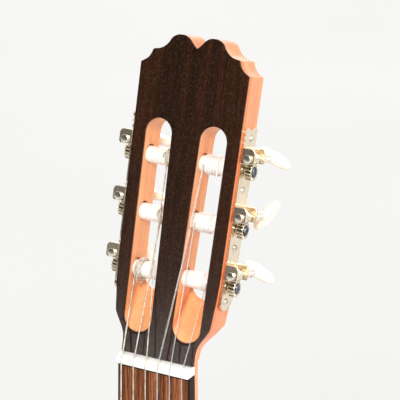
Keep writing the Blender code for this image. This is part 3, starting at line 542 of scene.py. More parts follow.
def wood(name, stops, roughness, turn=0.0, fibre=1.1, band=0.1, bands=0.5, pores=0.35, coat=0.0,
         relief=0.12, speckle=0.0, bookmatch=False, specular=0.5, edge=None):
    """Wood with its fibres along Z: colour bands, fine fibres, dark pores and an even finish."""
    n = Nodes(name)
    if bookmatch:
        x, y, z = n.split(n.coords)
        halves = n.add("CombineXYZ", {"X": n.math("ABSOLUTE", x), "Y": y, "Z": z})
        n.coords = halves.outputs["Vector"]
    fibres = n.noise(n.mapped((1, 1, 0.035), turn), fibre, 5.0, 0.62, 0.15)
    broad = n.noise(n.mapped((1, 1, 0.018), turn), band, 3.0, 0.5, 0.9)
    mixed = n.math("ADD", n.math("MULTIPLY", fibres, 1 - bands), n.math("MULTIPLY", broad, bands))
    colour = n.ramp(n.remap(mixed, 0.32, 0.68, 0.0, 1.0), stops)
    pore = n.remap(n.noise(n.mapped((1, 1, 0.07), turn), 2.6, 2.0, 0.6), 0.30, 0.44, 1.0, 0.0, True)
    darkest = tuple(0.35 * value for value in stops[0][1])
    colour = n.mix(n.math("MULTIPLY", pore, pores), colour, darkest)
    if speckle:
        dust = n.noise(n.mapped((1, 1, 0.8), turn), 1.0, 3.0, 0.85)
        colour = n.mix(n.remap(dust, 0.50, 0.68, 0.0, speckle, True), colour, (0.30, 0.24, 0.19))
        n.set(coat_normal=n.bump(dust, 0.45, 0.12))
    # An optional mask and tint over the wood: painted shade on the head's sides, or the fingerboard's darker long
    # edges and the nut's painted shadow
    if edge:
        share, tint = edge
        colour = n.mix(share(n), colour, tint)
    height = n.math("SUBTRACT", fibres, n.math("MULTIPLY", pore, 0.8))
    return n.set(colour=colour, roughness=n.remap(fibres, 0.3, 0.7, *roughness),
                 normal=n.bump(height, relief, 0.12), coat=coat, coat_roughness=0.12, specular=specular)


def mahogany(name, stops, turn, edge=None):
    return wood(name, stops, (0.34, 0.46), turn, 1.0, 0.07, 0.5, 0.38, 0.15, edge=edge)


LACQUER = {"coat": 0.6, "coat_roughness": 0.06}


def spruce(name):
    n = Nodes(name)
    lines = n.wave(n.mapped((1, 1, 0.01)), 0.235, "X", 1.6, 2.0, 0.5)
    spacing = n.noise(n.mapped((1, 1, 0.004)), 0.03, 1.0)
    lines = n.math("POWER", lines, n.remap(spacing, 0.3, 0.7, 1.2, 3.0))
    silk = n.noise(n.mapped((0.25, 1, 1.2)), 0.35, 4.0, 0.7)
    fibres = n.noise(n.mapped((1, 1, 0.03)), 2.0, 4.0, 0.6)
    stops = ((0.0, (0.60, 0.33, 0.125)), (1.0, (0.76, 0.46, 0.20)))
    light = n.ramp(n.remap(fibres, 0.3, 0.7, 0.0, 1.0), stops)
    colour = n.mix(n.math("MULTIPLY", lines, 0.55), light, (0.40, 0.19, 0.065))
    colour = n.mix(n.remap(silk, 0.5, 0.75, 0.0, 0.22), colour, (0.88, 0.60, 0.30))
    return n.set(colour=colour, roughness=n.remap(fibres, 0.3, 0.7, 0.28, 0.4),
                 normal=n.bump(n.math("ADD", fibres, lines), 0.06, 0.1), **LACQUER)


def nickel(name, light, dark, roughness=(0.20, 0.34), grain=0.12):
    n = Nodes(name)
    fine = n.noise(n.mapped(), 2.2, 4.0, 0.7)
    patches = n.noise(n.mapped(), 0.22, 4.0, 0.65)
    colour = n.mix(n.remap(patches, 0.42, 0.72, 0.0, 0.75, True), light, dark)
    darkest = tuple(0.6 * value for value in dark)
    colour = n.mix(n.remap(fine, 0.62, 0.75, 0.0, 0.5, True), colour, darkest)
    rough = n.remap(n.math("ADD", fine, patches), 0.7, 1.3, *roughness)
    return n.set(colour=colour, metallic=1.0, roughness=rough, normal=n.bump(fine, grain, 0.06))


def plastic(name, light, dark, roughness, subsurface, radius, swirl=0.12, coat=0.0):
    """Moulded plastic with a faint flow pattern."""
    n = Nodes(name)
    flow = n.noise(n.mapped(), swirl, 3.0, 0.6, 2.2)
    grain = n.noise(n.mapped(), 1.6, 3.0, 0.6)
    colour = n.mix(n.remap(flow, 0.35, 0.7, 0.0, 1.0, True), light, dark)
    return n.set(colour=colour, roughness=n.remap(grain, 0.3, 0.7, *roughness),
                 normal=n.bump(grain, 0.08, 0.05), subsurface=subsurface, radius=radius,
                 subsurface_scale=MM, coat=coat, coat_roughness=0.1)


def nylon(name, clear, subsurface=0.0):
    n = Nodes(name)
    grain = n.noise(n.mapped((1, 1, 0.2)), 1.4, 2.0)
    colour = n.ramp(grain, ((0.3, (0.88, 0.87, 0.83)), (0.7, (0.96, 0.96, 0.93))))
    return n.set(colour=colour, roughness=n.remap(grain, 0.3, 0.7, 0.12, 0.26),
                 normal=n.bump(grain, 0.05, 0.05), transmission=clear, ior=1.5,
                 subsurface=subsurface, radius=(1.0, 1.0, 0.9), subsurface_scale=MM)


def wound_wire(name, turn=0.0, metallic=1.0):
    """Fine wire wound round a core: close ridges, and worn and dull patches."""
    n = Nodes(name)
    ridges = n.wave(n.mapped(turn=turn), 0.95, "Z")
    worn = n.noise(n.mapped((1, 1, 0.5)), 0.5, 3.0, 0.6)
    stops = ((0.35, (0.55, 0.48, 0.36)), (0.5, (0.80, 0.75, 0.64)), (0.68, (0.94, 0.91, 0.83)))
    colour = n.mix(n.math("MULTIPLY", ridges, 0.35), n.ramp(worn, stops), (0.16, 0.12, 0.08))
    return n.set(colour=colour, metallic=metallic, roughness=n.remap(worn, 0.3, 0.7, 0.3, 0.42),
                 normal=n.bump(ridges, 0.5, 0.12))


def bone(name):
    n = Nodes(name)
    streaks = n.noise(n.mapped((0.12, 1, 1)), 0.7, 4.0, 0.6)
    pits = n.noise(n.mapped(), 1.8, 2.0)
    colour = n.ramp(streaks, ((0.35, (0.93, 0.90, 0.83)), (0.6, (0.98, 0.97, 0.93))))
    return n.set(colour=colour, roughness=n.remap(pits, 0.3, 0.7, 0.24, 0.38),
                 normal=n.bump(pits, 0.06, 0.06), subsurface=0.2, radius=(1.6, 1.1, 0.7),
                 subsurface_scale=MM)


def rosette_inlay(name, centre):
    """Rings of coloured lines round a band of small mosaic tiles."""
    n = Nodes(name)
    place = n.mapped((1, 0, 1), 0.0, centre)
    radius = n.add("VectorMath", {0: place}, operation="LENGTH").outputs["Value"]
    x, _, z = n.split(place)
    angle = n.math("ARCTAN2", x, z)
    share = n.remap(radius, *ROSETTE_RADII, 0.0, 1.0)
    pale, red, brown = (0.74, 0.55, 0.30), (0.36, 0.07, 0.03), (0.52, 0.26, 0.09)
    dark, green = (0.03, 0.015, 0.01), (0.05, 0.10, 0.05)
    ring_stops = (
        (0.0, dark), (0.04, pale), (0.08, red), (0.13, pale), (0.17, dark), (0.22, pale), (0.26, dark),
        (0.74, pale), (0.78, dark), (0.83, red), (0.88, pale), (0.92, dark), (0.97, pale),
    )
    rings = n.ramp(share, ring_stops, "CONSTANT")
    tiles_across = n.math("MULTIPLY", share, 26.0)
    tiles_round = n.math("MULTIPLY", angle, 67.0)
    zigzag = n.math("PINGPONG", n.math("ADD", tiles_round, n.math("FLOOR", tiles_across)), 4.0)
    diamond = n.math("ADD", zigzag, n.math("PINGPONG", tiles_across, 6.5))
    pick = n.math("FRACT", n.math("MULTIPLY", n.math("FLOOR", diamond), 0.27))
    tile_stops = ((0.0, dark), (0.2, pale), (0.42, red), (0.6, brown), (0.8, green))
    tiles = n.ramp(pick, tile_stops, "CONSTANT")
    in_band = n.math("MULTIPLY", n.math("GREATER_THAN", share, 0.27), n.math("LESS_THAN", share, 0.73))
    colour = n.mix(in_band, rings, tiles)
    fibres = n.noise(n.mapped(), 1.5, 3.0)
    colour = n.mix(n.remap(fibres, 0.4, 0.7, 0.0, 0.25), colour, (0.12, 0.06, 0.03))
    return n.set(colour=colour, roughness=n.remap(fibres, 0.3, 0.7, 0.28, 0.4),
                 normal=n.bump(fibres, 0.05, 0.05), **LACQUER)


VENEER_WOOD = wood(
    "veneer_wood",
    ((0.0, (0.008, 0.0028, 0.0010)), (0.5, (0.016, 0.0054, 0.0018)), (1.0, (0.038, 0.0105, 0.0028))),
    (0.30, 0.42), HEAD_TILT, 0.9, 0.09, 0.5, 0.5, coat=0.25, relief=0.35, speckle=0.08, specular=0.04)
PALE_LINE = wood(
    "pale_line_wood", ((0.0, (0.34, 0.17, 0.09)), (1.0, (0.48, 0.27, 0.16))), (0.4, 0.5), HEAD_TILT)
MAHOGANY_STOPS = ((0.0, (0.60, 0.170, 0.065)), (0.5, (0.78, 0.260, 0.115)), (1.0, (0.90, 0.36, 0.18)))
SLOT_STOPS = ((0.0, (0.80, 0.30, 0.115)), (0.5, (0.92, 0.41, 0.165)), (1.0, (0.97, 0.52, 0.25)))
# painted shade: a deeper, more saturated orange laid on the head's outer sides just behind the veneer
HEAD_MAHOGANY = mahogany("head_mahogany", MAHOGANY_STOPS, HEAD_TILT, (painted_side_shade, (0.72, 0.15, 0.03)))
SLOT_MAHOGANY = mahogany("slot_mahogany", SLOT_STOPS, HEAD_TILT)
NECK_MAHOGANY = mahogany("neck_mahogany", MAHOGANY_STOPS, 0.0)
# its dark tint darkens the long edges, and next to the nut it is the nut's painted shadow
FINGERBOARD_WOOD = wood(
    "fingerboard_wood",
    ((0.0, (0.014, 0.006, 0.004)), (0.42, (0.150, 0.043, 0.015)), (1.0, (0.56, 0.21, 0.08))),
    (0.42, 0.6), 0.0, 0.8, 0.2, 0.3, 0.9, relief=0.3, specular=0.15, edge=(dark_edges_and_nut_shadow, (0.010, 0.005, 0.004)))
BOARD_EDGE_WOOD = wood(
    "fingerboard_edge_wood", ((0.0, (0.006, 0.004, 0.003)), (1.0, (0.028, 0.014, 0.009))), (0.4, 0.5),
    specular=0.12)
BODY_WOOD = wood(
    "body_wood", ((0.0, (0.018, 0.007, 0.004)), (0.5, (0.085, 0.028, 0.013)), (1.0, (0.20, 0.075, 0.032))),
    (0.3, 0.42), 0.0, 0.5, 0.045, 0.6, 0.5, 0.7, bookmatch=True)
BINDING_WOOD = wood(
    "binding_wood", ((0.0, (0.012, 0.005, 0.004)), (1.0, (0.055, 0.018, 0.010))), (0.3, 0.4), coat=0.6)
BRIDGE_WOOD = wood(
    "bridge_wood", ((0.0, (0.022, 0.009, 0.006)), (0.5, (0.085, 0.030, 0.016)), (1.0, (0.17, 0.068, 0.034))),
    (0.36, 0.5), 0.0, 0.7, 0.1, 0.4, 0.6)
INNER_WOOD = wood(
    "inner_wood", ((0.0, (0.50, 0.31, 0.15)), (0.5, (0.66, 0.45, 0.25)), (1.0, (0.78, 0.58, 0.36))),
    (0.6, 0.75), 0.0, 0.9, 0.08, 0.5, 0.2)
BODY_INNER_WOOD = wood(
    "body_inner_wood", ((0.0, (0.10, 0.045, 0.022)), (1.0, (0.27, 0.13, 0.065))), (0.55, 0.7))
SPRUCE = spruce("spruce_top")
NICKEL = nickel("nickel_plate", (0.92, 0.80, 0.63), (0.68, 0.55, 0.38), grain=0.04)
GEAR_METAL = nickel("gear_metal", (0.84, 0.77, 0.62), (0.50, 0.40, 0.25), (0.22, 0.36), 0.05)
# painted shade: a near-black metal for the ring that darkens the gaps between the gear's teeth
TEETH_SHADE = nickel("painted_teeth_shade", (0.10, 0.07, 0.04), (0.03, 0.02, 0.012), (0.45, 0.6), 0.2)
WHEEL_STEEL = nickel("wheel_screw_steel", (0.20, 0.21, 0.23), (0.07, 0.07, 0.075), (0.28, 0.4), 0.06)
WORM_METAL = nickel("worm_metal", (0.94, 0.89, 0.78), (0.78, 0.68, 0.52), (0.18, 0.32), 0.03)
SCREW_STEEL = nickel("screw_steel", (0.80, 0.77, 0.70), (0.40, 0.36, 0.30), (0.2, 0.32), 0.05)
FRET_METAL = nickel("fret_metal", (0.82, 0.80, 0.75), (0.60, 0.55, 0.46), (0.14, 0.26), 0.03)
ROLLER_PLASTIC = plastic("roller_plastic", (0.98, 0.97, 0.94), (0.93, 0.91, 0.85), (0.28, 0.40), 0.12,
                         (1.0, 0.9, 0.8))
BUTTON_PLASTIC = plastic("button_plastic", (0.94, 0.89, 0.78), (0.88, 0.77, 0.58), (0.14, 0.24), 0.3,
                         (3.0, 2.0, 1.2), 0.09, 0.4)
NYLON = nylon("clear_nylon", 0.8)
COILED_NYLON = nylon("coiled_nylon", 0.0, 0.3)
WIRE = wound_wire("wound_wire")
HEAD_WIRE = wound_wire("wound_wire_at_head", HEAD_TILT, 0.3)
BONE = bone("white_bone")
ROSETTE_INLAY = rosette_inlay("rosette_inlay", WORK @ Vector((0, 0, -HOLE_CENTRE)))


# ---------------------------------------------------------------- sound box

def bezier(start, first, second, end, steps):
    points = []
    for i in range(steps):
        t = i / steps
        weights = ((1 - t) ** 3, 3 * t * (1 - t) ** 2, 3 * t * t * (1 - t), t**3)
        corners = (start, first, second, end)
        points.append(tuple(sum(w * p[k] for w, p in zip(weights, corners)) for k in (0, 1)))
    return points


def half_outline():
    """The treble half of the body's edge, from the neck joint round to the tail."""
    (ux, uy), (wx, wy), (lx, ly) = UPPER_BOUT, WAIST, LOWER_BOUT
    end = BODY_LENGTH
    points = bezier((0, 0), (0.62 * ux, 0), (ux, 0.42 * uy), (ux, uy), 40)
    points += bezier((ux, uy), (ux, between(uy, wy, 0.42)), (wx, between(uy, wy, 0.62)), (wx, wy), 24)
    points += bezier((wx, wy), (wx, between(wy, ly, 0.40)), (lx, between(wy, ly, 0.55)), (lx, ly), 28)
    points += bezier((lx, ly), (lx, between(ly, end, 0.56)), (0.62 * lx, end), (0, end), 44)
    points.append((0.0, end))
    return [(x, NECK_LENGTH + d) for x, d in points]


def offset_half(inset):
    line = half_outline()
    made = []
    for i, (x, d) in enumerate(line):
        if i == 0:
            made.append((0.0, d + inset))
        elif i == len(line) - 1:
            made.append((0.0, d - inset))
        else:
            before, after = line[i - 1], line[i + 1]
            along = Vector((after[0] - before[0], after[1] - before[1])).normalized()
            made.append((x - along.y * inset, d + along.x * inset))
    return made


def side_depth(distance):
    return between(*SIDE_DEPTHS, (distance - NECK_LENGTH) / BODY_LENGTH)


def edge_band(name, near, far, limits, finish, replaces=()):
    """A band round the body between two distances inwards; front(d) and back(d) give its y limits."""
    front, back = limits
    rings = []
    for (xo, do), (xi, di) in zip(offset_half(near), offset_half(far)):
        rings.append([(xo, front(do), -do), (xi, front(di), -di), (xi, back(di), -di), (xo, back(do), -do)])
    rings += [[(-x, y, z) for x, y, z in ring] for ring in reversed(rings[1:-1])]
    band = loft(rings, closed=True)
    if replaces:
        soften(band, 0.5)
    piece(name, band, WORK, finish, replaces=replaces)


def make_soundboard():
    board = prism(mirrored(offset_half(BINDING_WIDTH)), 0.0, 2.5, on_front)
    hole = prism(circle((0, HOLE_CENTRE), HOLE_RADIUS, 128), -5, 10, on_front)
    board = soften(combine(board, [hole], "DIFFERENCE"), 0.3)
    piece("spruce_soundboard", board, WORK, SPRUCE, replaces=("soundboard",))
    inner, outer = ROSETTE_RADII
    profile = ((inner, 0.6), (inner, -0.04), (inner + 0.2, -0.06), (outer - 0.2, -0.06), (outer, -0.04),
               (outer, 0.6))
    rings = []
    for i in range(160):
        angle = 2 * math.pi * i / 160
        rings.append([(r * math.sin(angle), y, r * math.cos(angle) - HOLE_CENTRE) for r, y in profile])
    ring = loft(rings, closed=True)
    piece("inlaid_rosette", ring, WORK, ROSETTE_INLAY, replaces=("rosette",))


def make_edges():
    """Bindings, and the thin inlaid lines next to them."""
    front = (lambda d: 0.0, lambda d: BINDING_HEIGHT)
    rear = (lambda d: side_depth(d) - BINDING_HEIGHT, side_depth)
    on_top = (lambda d: -0.03, lambda d: 0.5)
    by_front = (lambda d: BINDING_HEIGHT, lambda d: BINDING_HEIGHT + LINE_HEIGHT)
    by_rear = (lambda d: rear[0](d) - LINE_HEIGHT, rear[0])
    edge_band("front_binding", 0.0, BINDING_WIDTH, front, BINDING_WOOD, ("top_binding",))
    edge_band("rear_binding", 0.0, BINDING_WIDTH, rear, BINDING_WOOD, ("back_binding",))
    edge_band("pale_purfling", 2.0, 2.8, on_top, PALE_LINE)
    edge_band("dark_purfling", 2.8, 3.5, on_top, BINDING_WOOD)
    edge_band("inner_pale_purfling", 3.5, 4.0, on_top, PALE_LINE)
    edge_band("side_purfling", -0.03, 0.8, by_front, PALE_LINE)
    edge_band("rear_side_purfling", -0.03, 0.8, by_rear, PALE_LINE)


def make_ribs():
    front, rear = BINDING_HEIGHT - 0.2, 0.2 - BINDING_HEIGHT
    rings = []
    for (xo, do), (xi, di) in zip(half_outline(), offset_half(2.0)):
        rings.append([(xo, front, -do), (xi, front, -di), (xi, side_depth(di) + rear, -di),
                      (xo, side_depth(do) + rear, -do)])
    for name, side in (("treble_rib", 1), ("bass_rib", -1)):
        half = [[(side * x, y, z) for x, y, z in ring] for ring in rings]
        made = piece(f"{name}_laminate", loft(half), WORK, BODY_WOOD, replaces=(name,))
        made.data.materials.append(BODY_INNER_WOOD)
        for face in made.data.polygons:
            middle = made.matrix_world @ face.center
            out = Vector((middle.x, 0, middle.z - (WORK.translation.z - BODY_MIDDLE) * MM))
            if face.normal.dot(out) < 0 and abs(face.normal.y) < 0.5:
                face.material_index = 1
    height = (BINDING_HEIGHT, SIDE_DEPTHS[1] - BINDING_HEIGHT)
    graft = box((-5.0, 5.0), height, (-BODY_END - 0.25, 1.0 - BODY_END))
    piece("end_graft", graft, WORK, BINDING_WOOD)
    lines = [box((side * 5.0, side * 5.7), height, (-BODY_END - 0.3, 1.0 - BODY_END)) for side in (-1, 1)]
    piece("end_graft_lines", joined(lines), WORK, PALE_LINE)


def back_height(x, distance, width):
    share = max(0.0, abs(x) - BACK_FLAT_HALF) / max(width - BACK_FLAT_HALF, 1.0)
    return side_depth(distance) + BACK_ARCH * (1 - min(1.0, share) ** 2)


def make_back():
    columns = 24
    rings = []
    for x, d in offset_half(BINDING_WIDTH)[1:-1]:
        across = [x * math.sin(math.pi * (i / columns - 0.5)) for i in range(columns + 1)]
        outer = [(c, back_height(c, d, x), -d) for c in across]
        rings.append(outer + [(cx, y - 2.6, z) for cx, y, z in reversed(outer)])
    piece("arched_back", loft(rings), WORK, BODY_WOOD, replaces=("back",))
    seams = []
    for near, far in ((-1.8, -1.1), (1.1, 1.8)):
        rings = []
        for d in (327.2, 560.0, 809.8):
            top = side_depth(d) + BACK_ARCH
            low, high = top - 0.4, top + 0.04
            rings.append([(near, low, -d), (far, low, -d), (far, high, -d), (near, high, -d)])
        seams.append(loft(rings))
    piece("back_centre_lines", joined(seams), WORK, PALE_LINE)


def bridge_section(x, height):
    """Rounded cross-section of the bridge's wing."""
    front, rear = BRIDGE_SPAN
    middle, half = (front + rear) / 2, (rear - front) / 2
    points = [(x, -0.1, half - middle)]
    for degrees in range(0, 181, 12):
        angle = math.radians(degrees)
        along = half * math.cos(angle) * 0.99 - middle
        points.append((x, -height * (0.55 + 0.45 * math.sin(angle)), along))
    return points + [(x, -0.1, -half - middle)]


def make_bridge():
    front, rear = BRIDGE_SPAN
    rings = []
    for i in range(33):
        share = abs(i / 16 - 1)
        x = BRIDGE_HALF * (i / 16 - 1)
        tip = between(1.0, 0.75, max(0.0, share - 0.94) / 0.06)
        rings.append(bridge_section(x, between(3.7, 2.2, share**3) * tip))
    wings = loft(rings)
    profile = [(front + 0.6, -1.0), (front + 1.6, -7.4)] + arc((front + 4.4, -6.6), 2.6, 200, 270, 4)
    profile += [(front + 14.3, -9.2), (front + 15.8, -4.6), (front + 18.0, -4.6), (front + 18.8, -9.4),
                (front + 19.4, -9.7), (rear - 1.2, -9.7), (rear - 0.6, -9.2), (rear - 0.6, -1.0)]
    core = soften(prism(profile, -BRIDGE_CORE_HALF, BRIDGE_CORE_HALF, lambda a, b, c: (c, b, -a)), 0.4)
    bridge = combine(wings, [core], "UNION")
    cutters = [box((-40.3, 40.3), (-20, -3.2), (-SADDLE_AT - 1.45, -SADDLE_AT + 1.45))]
    for number in STRINGS:
        x = string_x(number, 1)
        hole = turned([(-rear - 6, 0.85), (-rear + 11.5, 0.85)], 12, "Y")
        turn = Matrix.Translation((x, -6.6, 0)) @ Matrix.Rotation(math.radians(90), 4, "X")
        cutters.append(moved(hole, turn))
    bridge = combine(bridge, cutters, "DIFFERENCE")
    piece("rosewood_bridge", bridge, WORK, BRIDGE_WOOD, replaces=("bridge",))
    strips = [box((-40.6, 40.6), (-10.15, -9.6), (-z - 1.1, -z + 1.1)) for z in (front + 20.6, rear - 1.8)]
    piece("tie_block_strips", soften(joined(strips), 0.2), WORK, BONE)
    half = 1.25
    crown = arc((0, SADDLE_TOP + 1.1), 1.1, 200, 340, 8)
    shoulder = SADDLE_TOP + 1.5
    outline = [(-half, -3.5), (-half, shoulder)] + crown + [(half, shoulder), (half, -3.5)]
    saddle = prism(outline, -40.0, 40.0, lambda a, b, c: (c, b, -SADDLE_AT - a))
    piece("bone_saddle", soften(saddle, 0.2, 2, 60), WORK, BONE, replaces=("saddle",))


# ---------------------------------------------------------------- neck and head

def head_half_outline():
    """The head's treble edge from the crown's notch to the nut, as (x, v)."""
    crown = smooth_line(HEAD_CROWN, 8)
    shoulder = smooth_line(HEAD_SHOULDER, 6)
    return crown + shoulder


def shoulder_half_width(v):
    line = [(v0, x0) for x0, v0 in reversed(smooth_line(HEAD_SHOULDER, 6))]
    if v < line[0][0]:
        return NUT_HALF_WIDTH
    for (v0, x0), (v1, x1) in zip(line, line[1:]):
        if v0 <= v <= v1:
            return between(x0, x1, (v - v0) / (v1 - v0))
    return line[-1][1] + 2


def side_half_width(number):
    """The distance of a machine's plate from the centre line, from its knob's place."""
    return abs(JOINTS[f"knob_{number}_turn"]["pos_m"][0]) / MM - SHAFT_OFFSET


def neck_half_width(distance):
    return between(NUT_HALF_WIDTH, JOINT_HALF_WIDTH, distance / NECK_LENGTH)


def neck_depth(distance):
    depth = between(*NECK_DEPTHS, min(distance, HEEL_START) / HEEL_START)
    if distance <= HEEL_START:
        return depth
    if distance <= HEEL_CAP_START:
        share = (distance - HEEL_START) / (HEEL_CAP_START - HEEL_START)
        return between(depth, HEEL_CUT, 0.3 * share**2 + 0.7 * share**4)
    return between(HEEL_CUT, HEEL_FULL, (distance - HEEL_CAP_START) / (NECK_LENGTH - HEEL_CAP_START))


def section(half_width, depth, power):
    """Half a superellipse, as (x, depth) pairs from one front corner to the other."""
    steps = 56
    points = []
    for i in range(steps + 1):
        angle = math.pi * i / steps
        c, s = math.cos(angle), math.sin(angle)
        points.append((half_width * math.copysign(abs(c) ** (2 / power), c), depth * abs(s) ** (2 / power)))
    return points


def neck_rings():
    """Sections from the heel to the top of the head; their planes turn with the head near the nut."""
    down = [324.9 - 1.6 * i for i in range(43)] + [250, 220, 190, 150, 120, 90, 62, 45, 30, 22]
    rings = []
    for d in down:
        ring = section(neck_half_width(d), neck_depth(d), NECK_ROUNDNESS)
        rings.append([(x, min(y, HEEL_CUT), -d) for x, y in ring])
    for i in range(-16, 62, 2):
        rings.append(turning_ring(i))
    rings.append(turning_ring(199))
    return rings


def turning_ring(p):
    """A section p above the nut's upper edge, or below it if p is negative, turning with the head."""
    turn = HEAD_TILT * smooth_step((p + 25) / 50)
    into = Vector((0, math.cos(turn), -math.sin(turn)))
    up = Vector((0, math.sin(HEAD_TILT), math.cos(HEAD_TILT))) if p > 0 else Vector((0, 0, 1))
    front = Vector((0, 0, NUT_THICKNESS)) + up * p - into * min(1.0, max(0.0, p / 3))
    depth = between(neck_depth(max(0, -p)), HEAD_THICKNESS - 0.7, smooth_step((p + 20) / 45))
    power = NECK_ROUNDNESS + 18 * smooth_step((p - 2) / 42) ** 2
    if p > 24:
        half = 40.0
    elif p < 3:
        half = neck_half_width(max(0, -p - NUT_THICKNESS))
    else:
        half = max(shoulder_half_width(p) + 1.0, NUT_HALF_WIDTH)
    return [tuple(front + Vector((x, 0, 0)) + into * y) for x, y in section(half, depth, power)]


def slot_outline(side, shift):
    tx, tv, tr = SLOT_TOP
    bx, bv, br = SLOT_BOTTOM
    points = arc((tx, tv), tr, 0, 180, 28) + arc((bx, bv + shift), br, 180, 360, 28)
    return [(side * x, v) for x, v in points]


def slot_cutters():
    """Both slots through the head; their lower ends climb towards the back."""
    slope = SLOT_RAMP / HEAD_THICKNESS
    cutters = []
    for side in (1, -1):
        depths = (-4.0, HEAD_THICKNESS + 4.0)
        cutters.append(loft([[on_head(x, v, w) for x, v in slot_outline(side, slope * w)] for w in depths]))
    return cutters


def post_height(number):
    row = number - 1 if number <= 3 else 6 - number
    return FIRST_POST + row * POST_PITCH


def side_of(number):
    return 1 if number <= 3 else -1


def post_place(number):
    """A post's axis and the middle of its string's turns, in head axes."""
    return Matrix.Translation((0, POST_DEPTH, post_height(number)))


def make_neck():
    shaft = moved(loft(neck_rings()), HEAD_TO_WORK.inverted())
    cut_plane(shaft, (0, HEAD_THICKNESS, 0), (0, -1, 0))
    moved(shaft, HEAD_TO_WORK)
    cut_plane(shaft, (0, 0, -0.4), (0, 0, 1))
    piece("mahogany_neck", shaft, WORK, NECK_MAHOGANY, replaces=("neck",), smooth=30)


def make_head():
    outline = head_half_outline() + [(25.0, 2.0), (45.0, 1.0), (45.0, -100.0)]
    blank = moved(loft(neck_rings()), HEAD_TO_WORK.inverted())
    cut_plane(blank, (0, HEAD_THICKNESS, 0), (0, 1, 0))
    cut_plane(blank, (0, WOOD_FRONT, 0), (0, -1, 0))
    blank = combine(blank, [prism(mirrored(outline), -30, 40, on_head)], "INTERSECT")
    blank = combine(blank, slot_cutters(), "DIFFERENCE")
    holes = []
    for number in STRINGS:
        side = side_of(number)
        hole = turned([(side * 4.9, ROLLER_HOLE), (side * 60.0, ROLLER_HOLE)], 40, "X")
        holes.append(moved(hole, Matrix.Translation((0, POST_DEPTH, post_height(number) + 0.4))))
    blank = combine(blank, holes, "DIFFERENCE")
    head = piece("mahogany_head", blank, HEAD, HEAD_MAHOGANY, replaces=("headstock",), smooth=30)
    head.data.materials.append(SLOT_MAHOGANY)
    for face in head.data.polygons:
        x, w, v = HEAD.inverted() @ (face.center / MM)
        across = SLOT_WALLS_X[0] < abs(x) < min(SLOT_WALLS_X[1], shoulder_half_width(v) - 2.0)
        along = SLOT_WALLS_V[0] < v < SLOT_WALLS_V[1]
        if across and along and WOOD_FRONT + 0.1 < w < HEAD_THICKNESS - 0.1:
            face.material_index = 1


def make_head_face():
    """The dark veneer and the thin pale line under it."""
    edge = mirrored(head_half_outline() + [(NUT_HALF_WIDTH, 0.05)])
    for name, low, high, finish, stands_in_for in (
        ("dark_head_veneer", 0.0, VENEER, VENEER_WOOD, ("head_veneer",)),
        ("pale_veneer_line", VENEER, WOOD_FRONT, PALE_LINE, ()),
    ):
        sheet = combine(prism(edge, low, high, on_head), slot_cutters(), "DIFFERENCE")
        if low == 0.0:
            soften(sheet, 0.18, 2, 50)
        piece(name, sheet, HEAD, finish, replaces=stands_in_for, smooth=30)


def make_heel_cap():
    edge = []
    for i in range(25):
        d = between(HEEL_CAP_START + 0.2, NECK_LENGTH - 0.1, i / 24)
        share = 1 - (HEEL_CUT / neck_depth(d)) ** NECK_ROUNDNESS
        edge.append((neck_half_width(d) * share ** (1 / NECK_ROUNDNESS), d))
    cap = soften(prism(mirrored(edge), HEEL_CUT, HEEL_CUT + 3.7, on_front), 0.6, 3, 50)
    piece("rosewood_heel_cap", cap, WORK, BODY_WOOD, replaces=("heel_cap",))


def fret_distance(number):
    return SCALE_LENGTH * (1 - 2 ** (-number / 12))


def fret(number):
    """One fret, its crown sloping down at both ends."""
    d = fret_distance(number)
    half = neck_half_width(d) - 0.3
    foot = FINGERBOARD_TOP + 0.3
    ends = ((half, 0.12), (half - 0.5, 0.8), (half - 1.0, 1.0))
    rings = []
    for x, lift in [(-x, lift) for x, lift in ends] + list(reversed(ends)):
        ring = [(x, foot, -d - 1.1)]
        for degrees in range(180, -1, -18):
            angle = math.radians(degrees)
            ring.append((x, FINGERBOARD_TOP - lift * math.sin(angle), -d - 1.1 * math.cos(angle)))
        rings.append(ring + [(x, foot, -d + 1.1)])
    return loft(rings)


def make_fingerboard():
    end = fret_distance(FRETS) + 9.0
    half = neck_half_width(end)
    outline = [(-NUT_HALF_WIDTH, 0.1), (NUT_HALF_WIDTH, 0.1), (half, end), (-half, end)]
    board = prism(outline, FINGERBOARD_TOP, 0.0, on_front)
    hole = prism(circle((0, HOLE_CENTRE), HOLE_RADIUS + 0.6, 96), -10, 5, on_front)
    board = soften(combine(board, [hole], "DIFFERENCE"), 0.35, 2, 50)
    made = piece("rosewood_fingerboard", board, WORK, FINGERBOARD_WOOD,
                 replaces=("fingerboard",))
    made.data.materials.append(BOARD_EDGE_WOOD)
    for face in made.data.polygons:
        if abs(face.normal.x) > 0.35:
            face.material_index = 1
    frets = [fret(number) for number in range(1, FRETS + 1)]
    piece("frets", joined(frets), WORK, FRET_METAL)


def string_x(number, end):
    """A string's place across the nut (end 0) or the saddle (end 1)."""
    spread = STRING_SPREADS[end]
    return between(spread, -spread, (number - 1) / 5) / 2


def make_nut():
    top = -9.15
    crown = [(0.05, top + 1.1), (0.35, top + 0.35), (1.0, top), (2.6, top + 0.15), (4.2, top + 0.95),
             (5.2, top + 2.3), (NUT_THICKNESS, top + 4.0)]
    outline = [(0.05, 0.0)] + smooth_line(crown, 3) + [(NUT_THICKNESS, 0.0)]
    nut = prism(outline, -NUT_HALF_WIDTH, NUT_HALF_WIDTH, lambda a, b, c: (c, b, a))
    soften(nut, 0.5, 3, 60)
    notches = []
    for number in STRINGS:
        radius = STRING_DIAMETERS[number - 1] / 2 + 0.06
        x, y = string_x(number, 0), OVER_NUT - radius
        path = [(x, y + 2.4, 9.0), (x, y + 0.9, 4.2), (x, y, 1.8), (x, y, 0.0), (x, y - 0.02, -3.0)]
        notches.append(tube(path, radius, 14))
        notches.append(box((x - radius, x + radius), (y - 2.0, y), (-2.0, 3.4)))
    nut = combine(nut, notches, "DIFFERENCE")
    piece("bone_nut", nut, WORK, BONE, replaces=("nut",))


# ---------------------------------------------------------------- strings

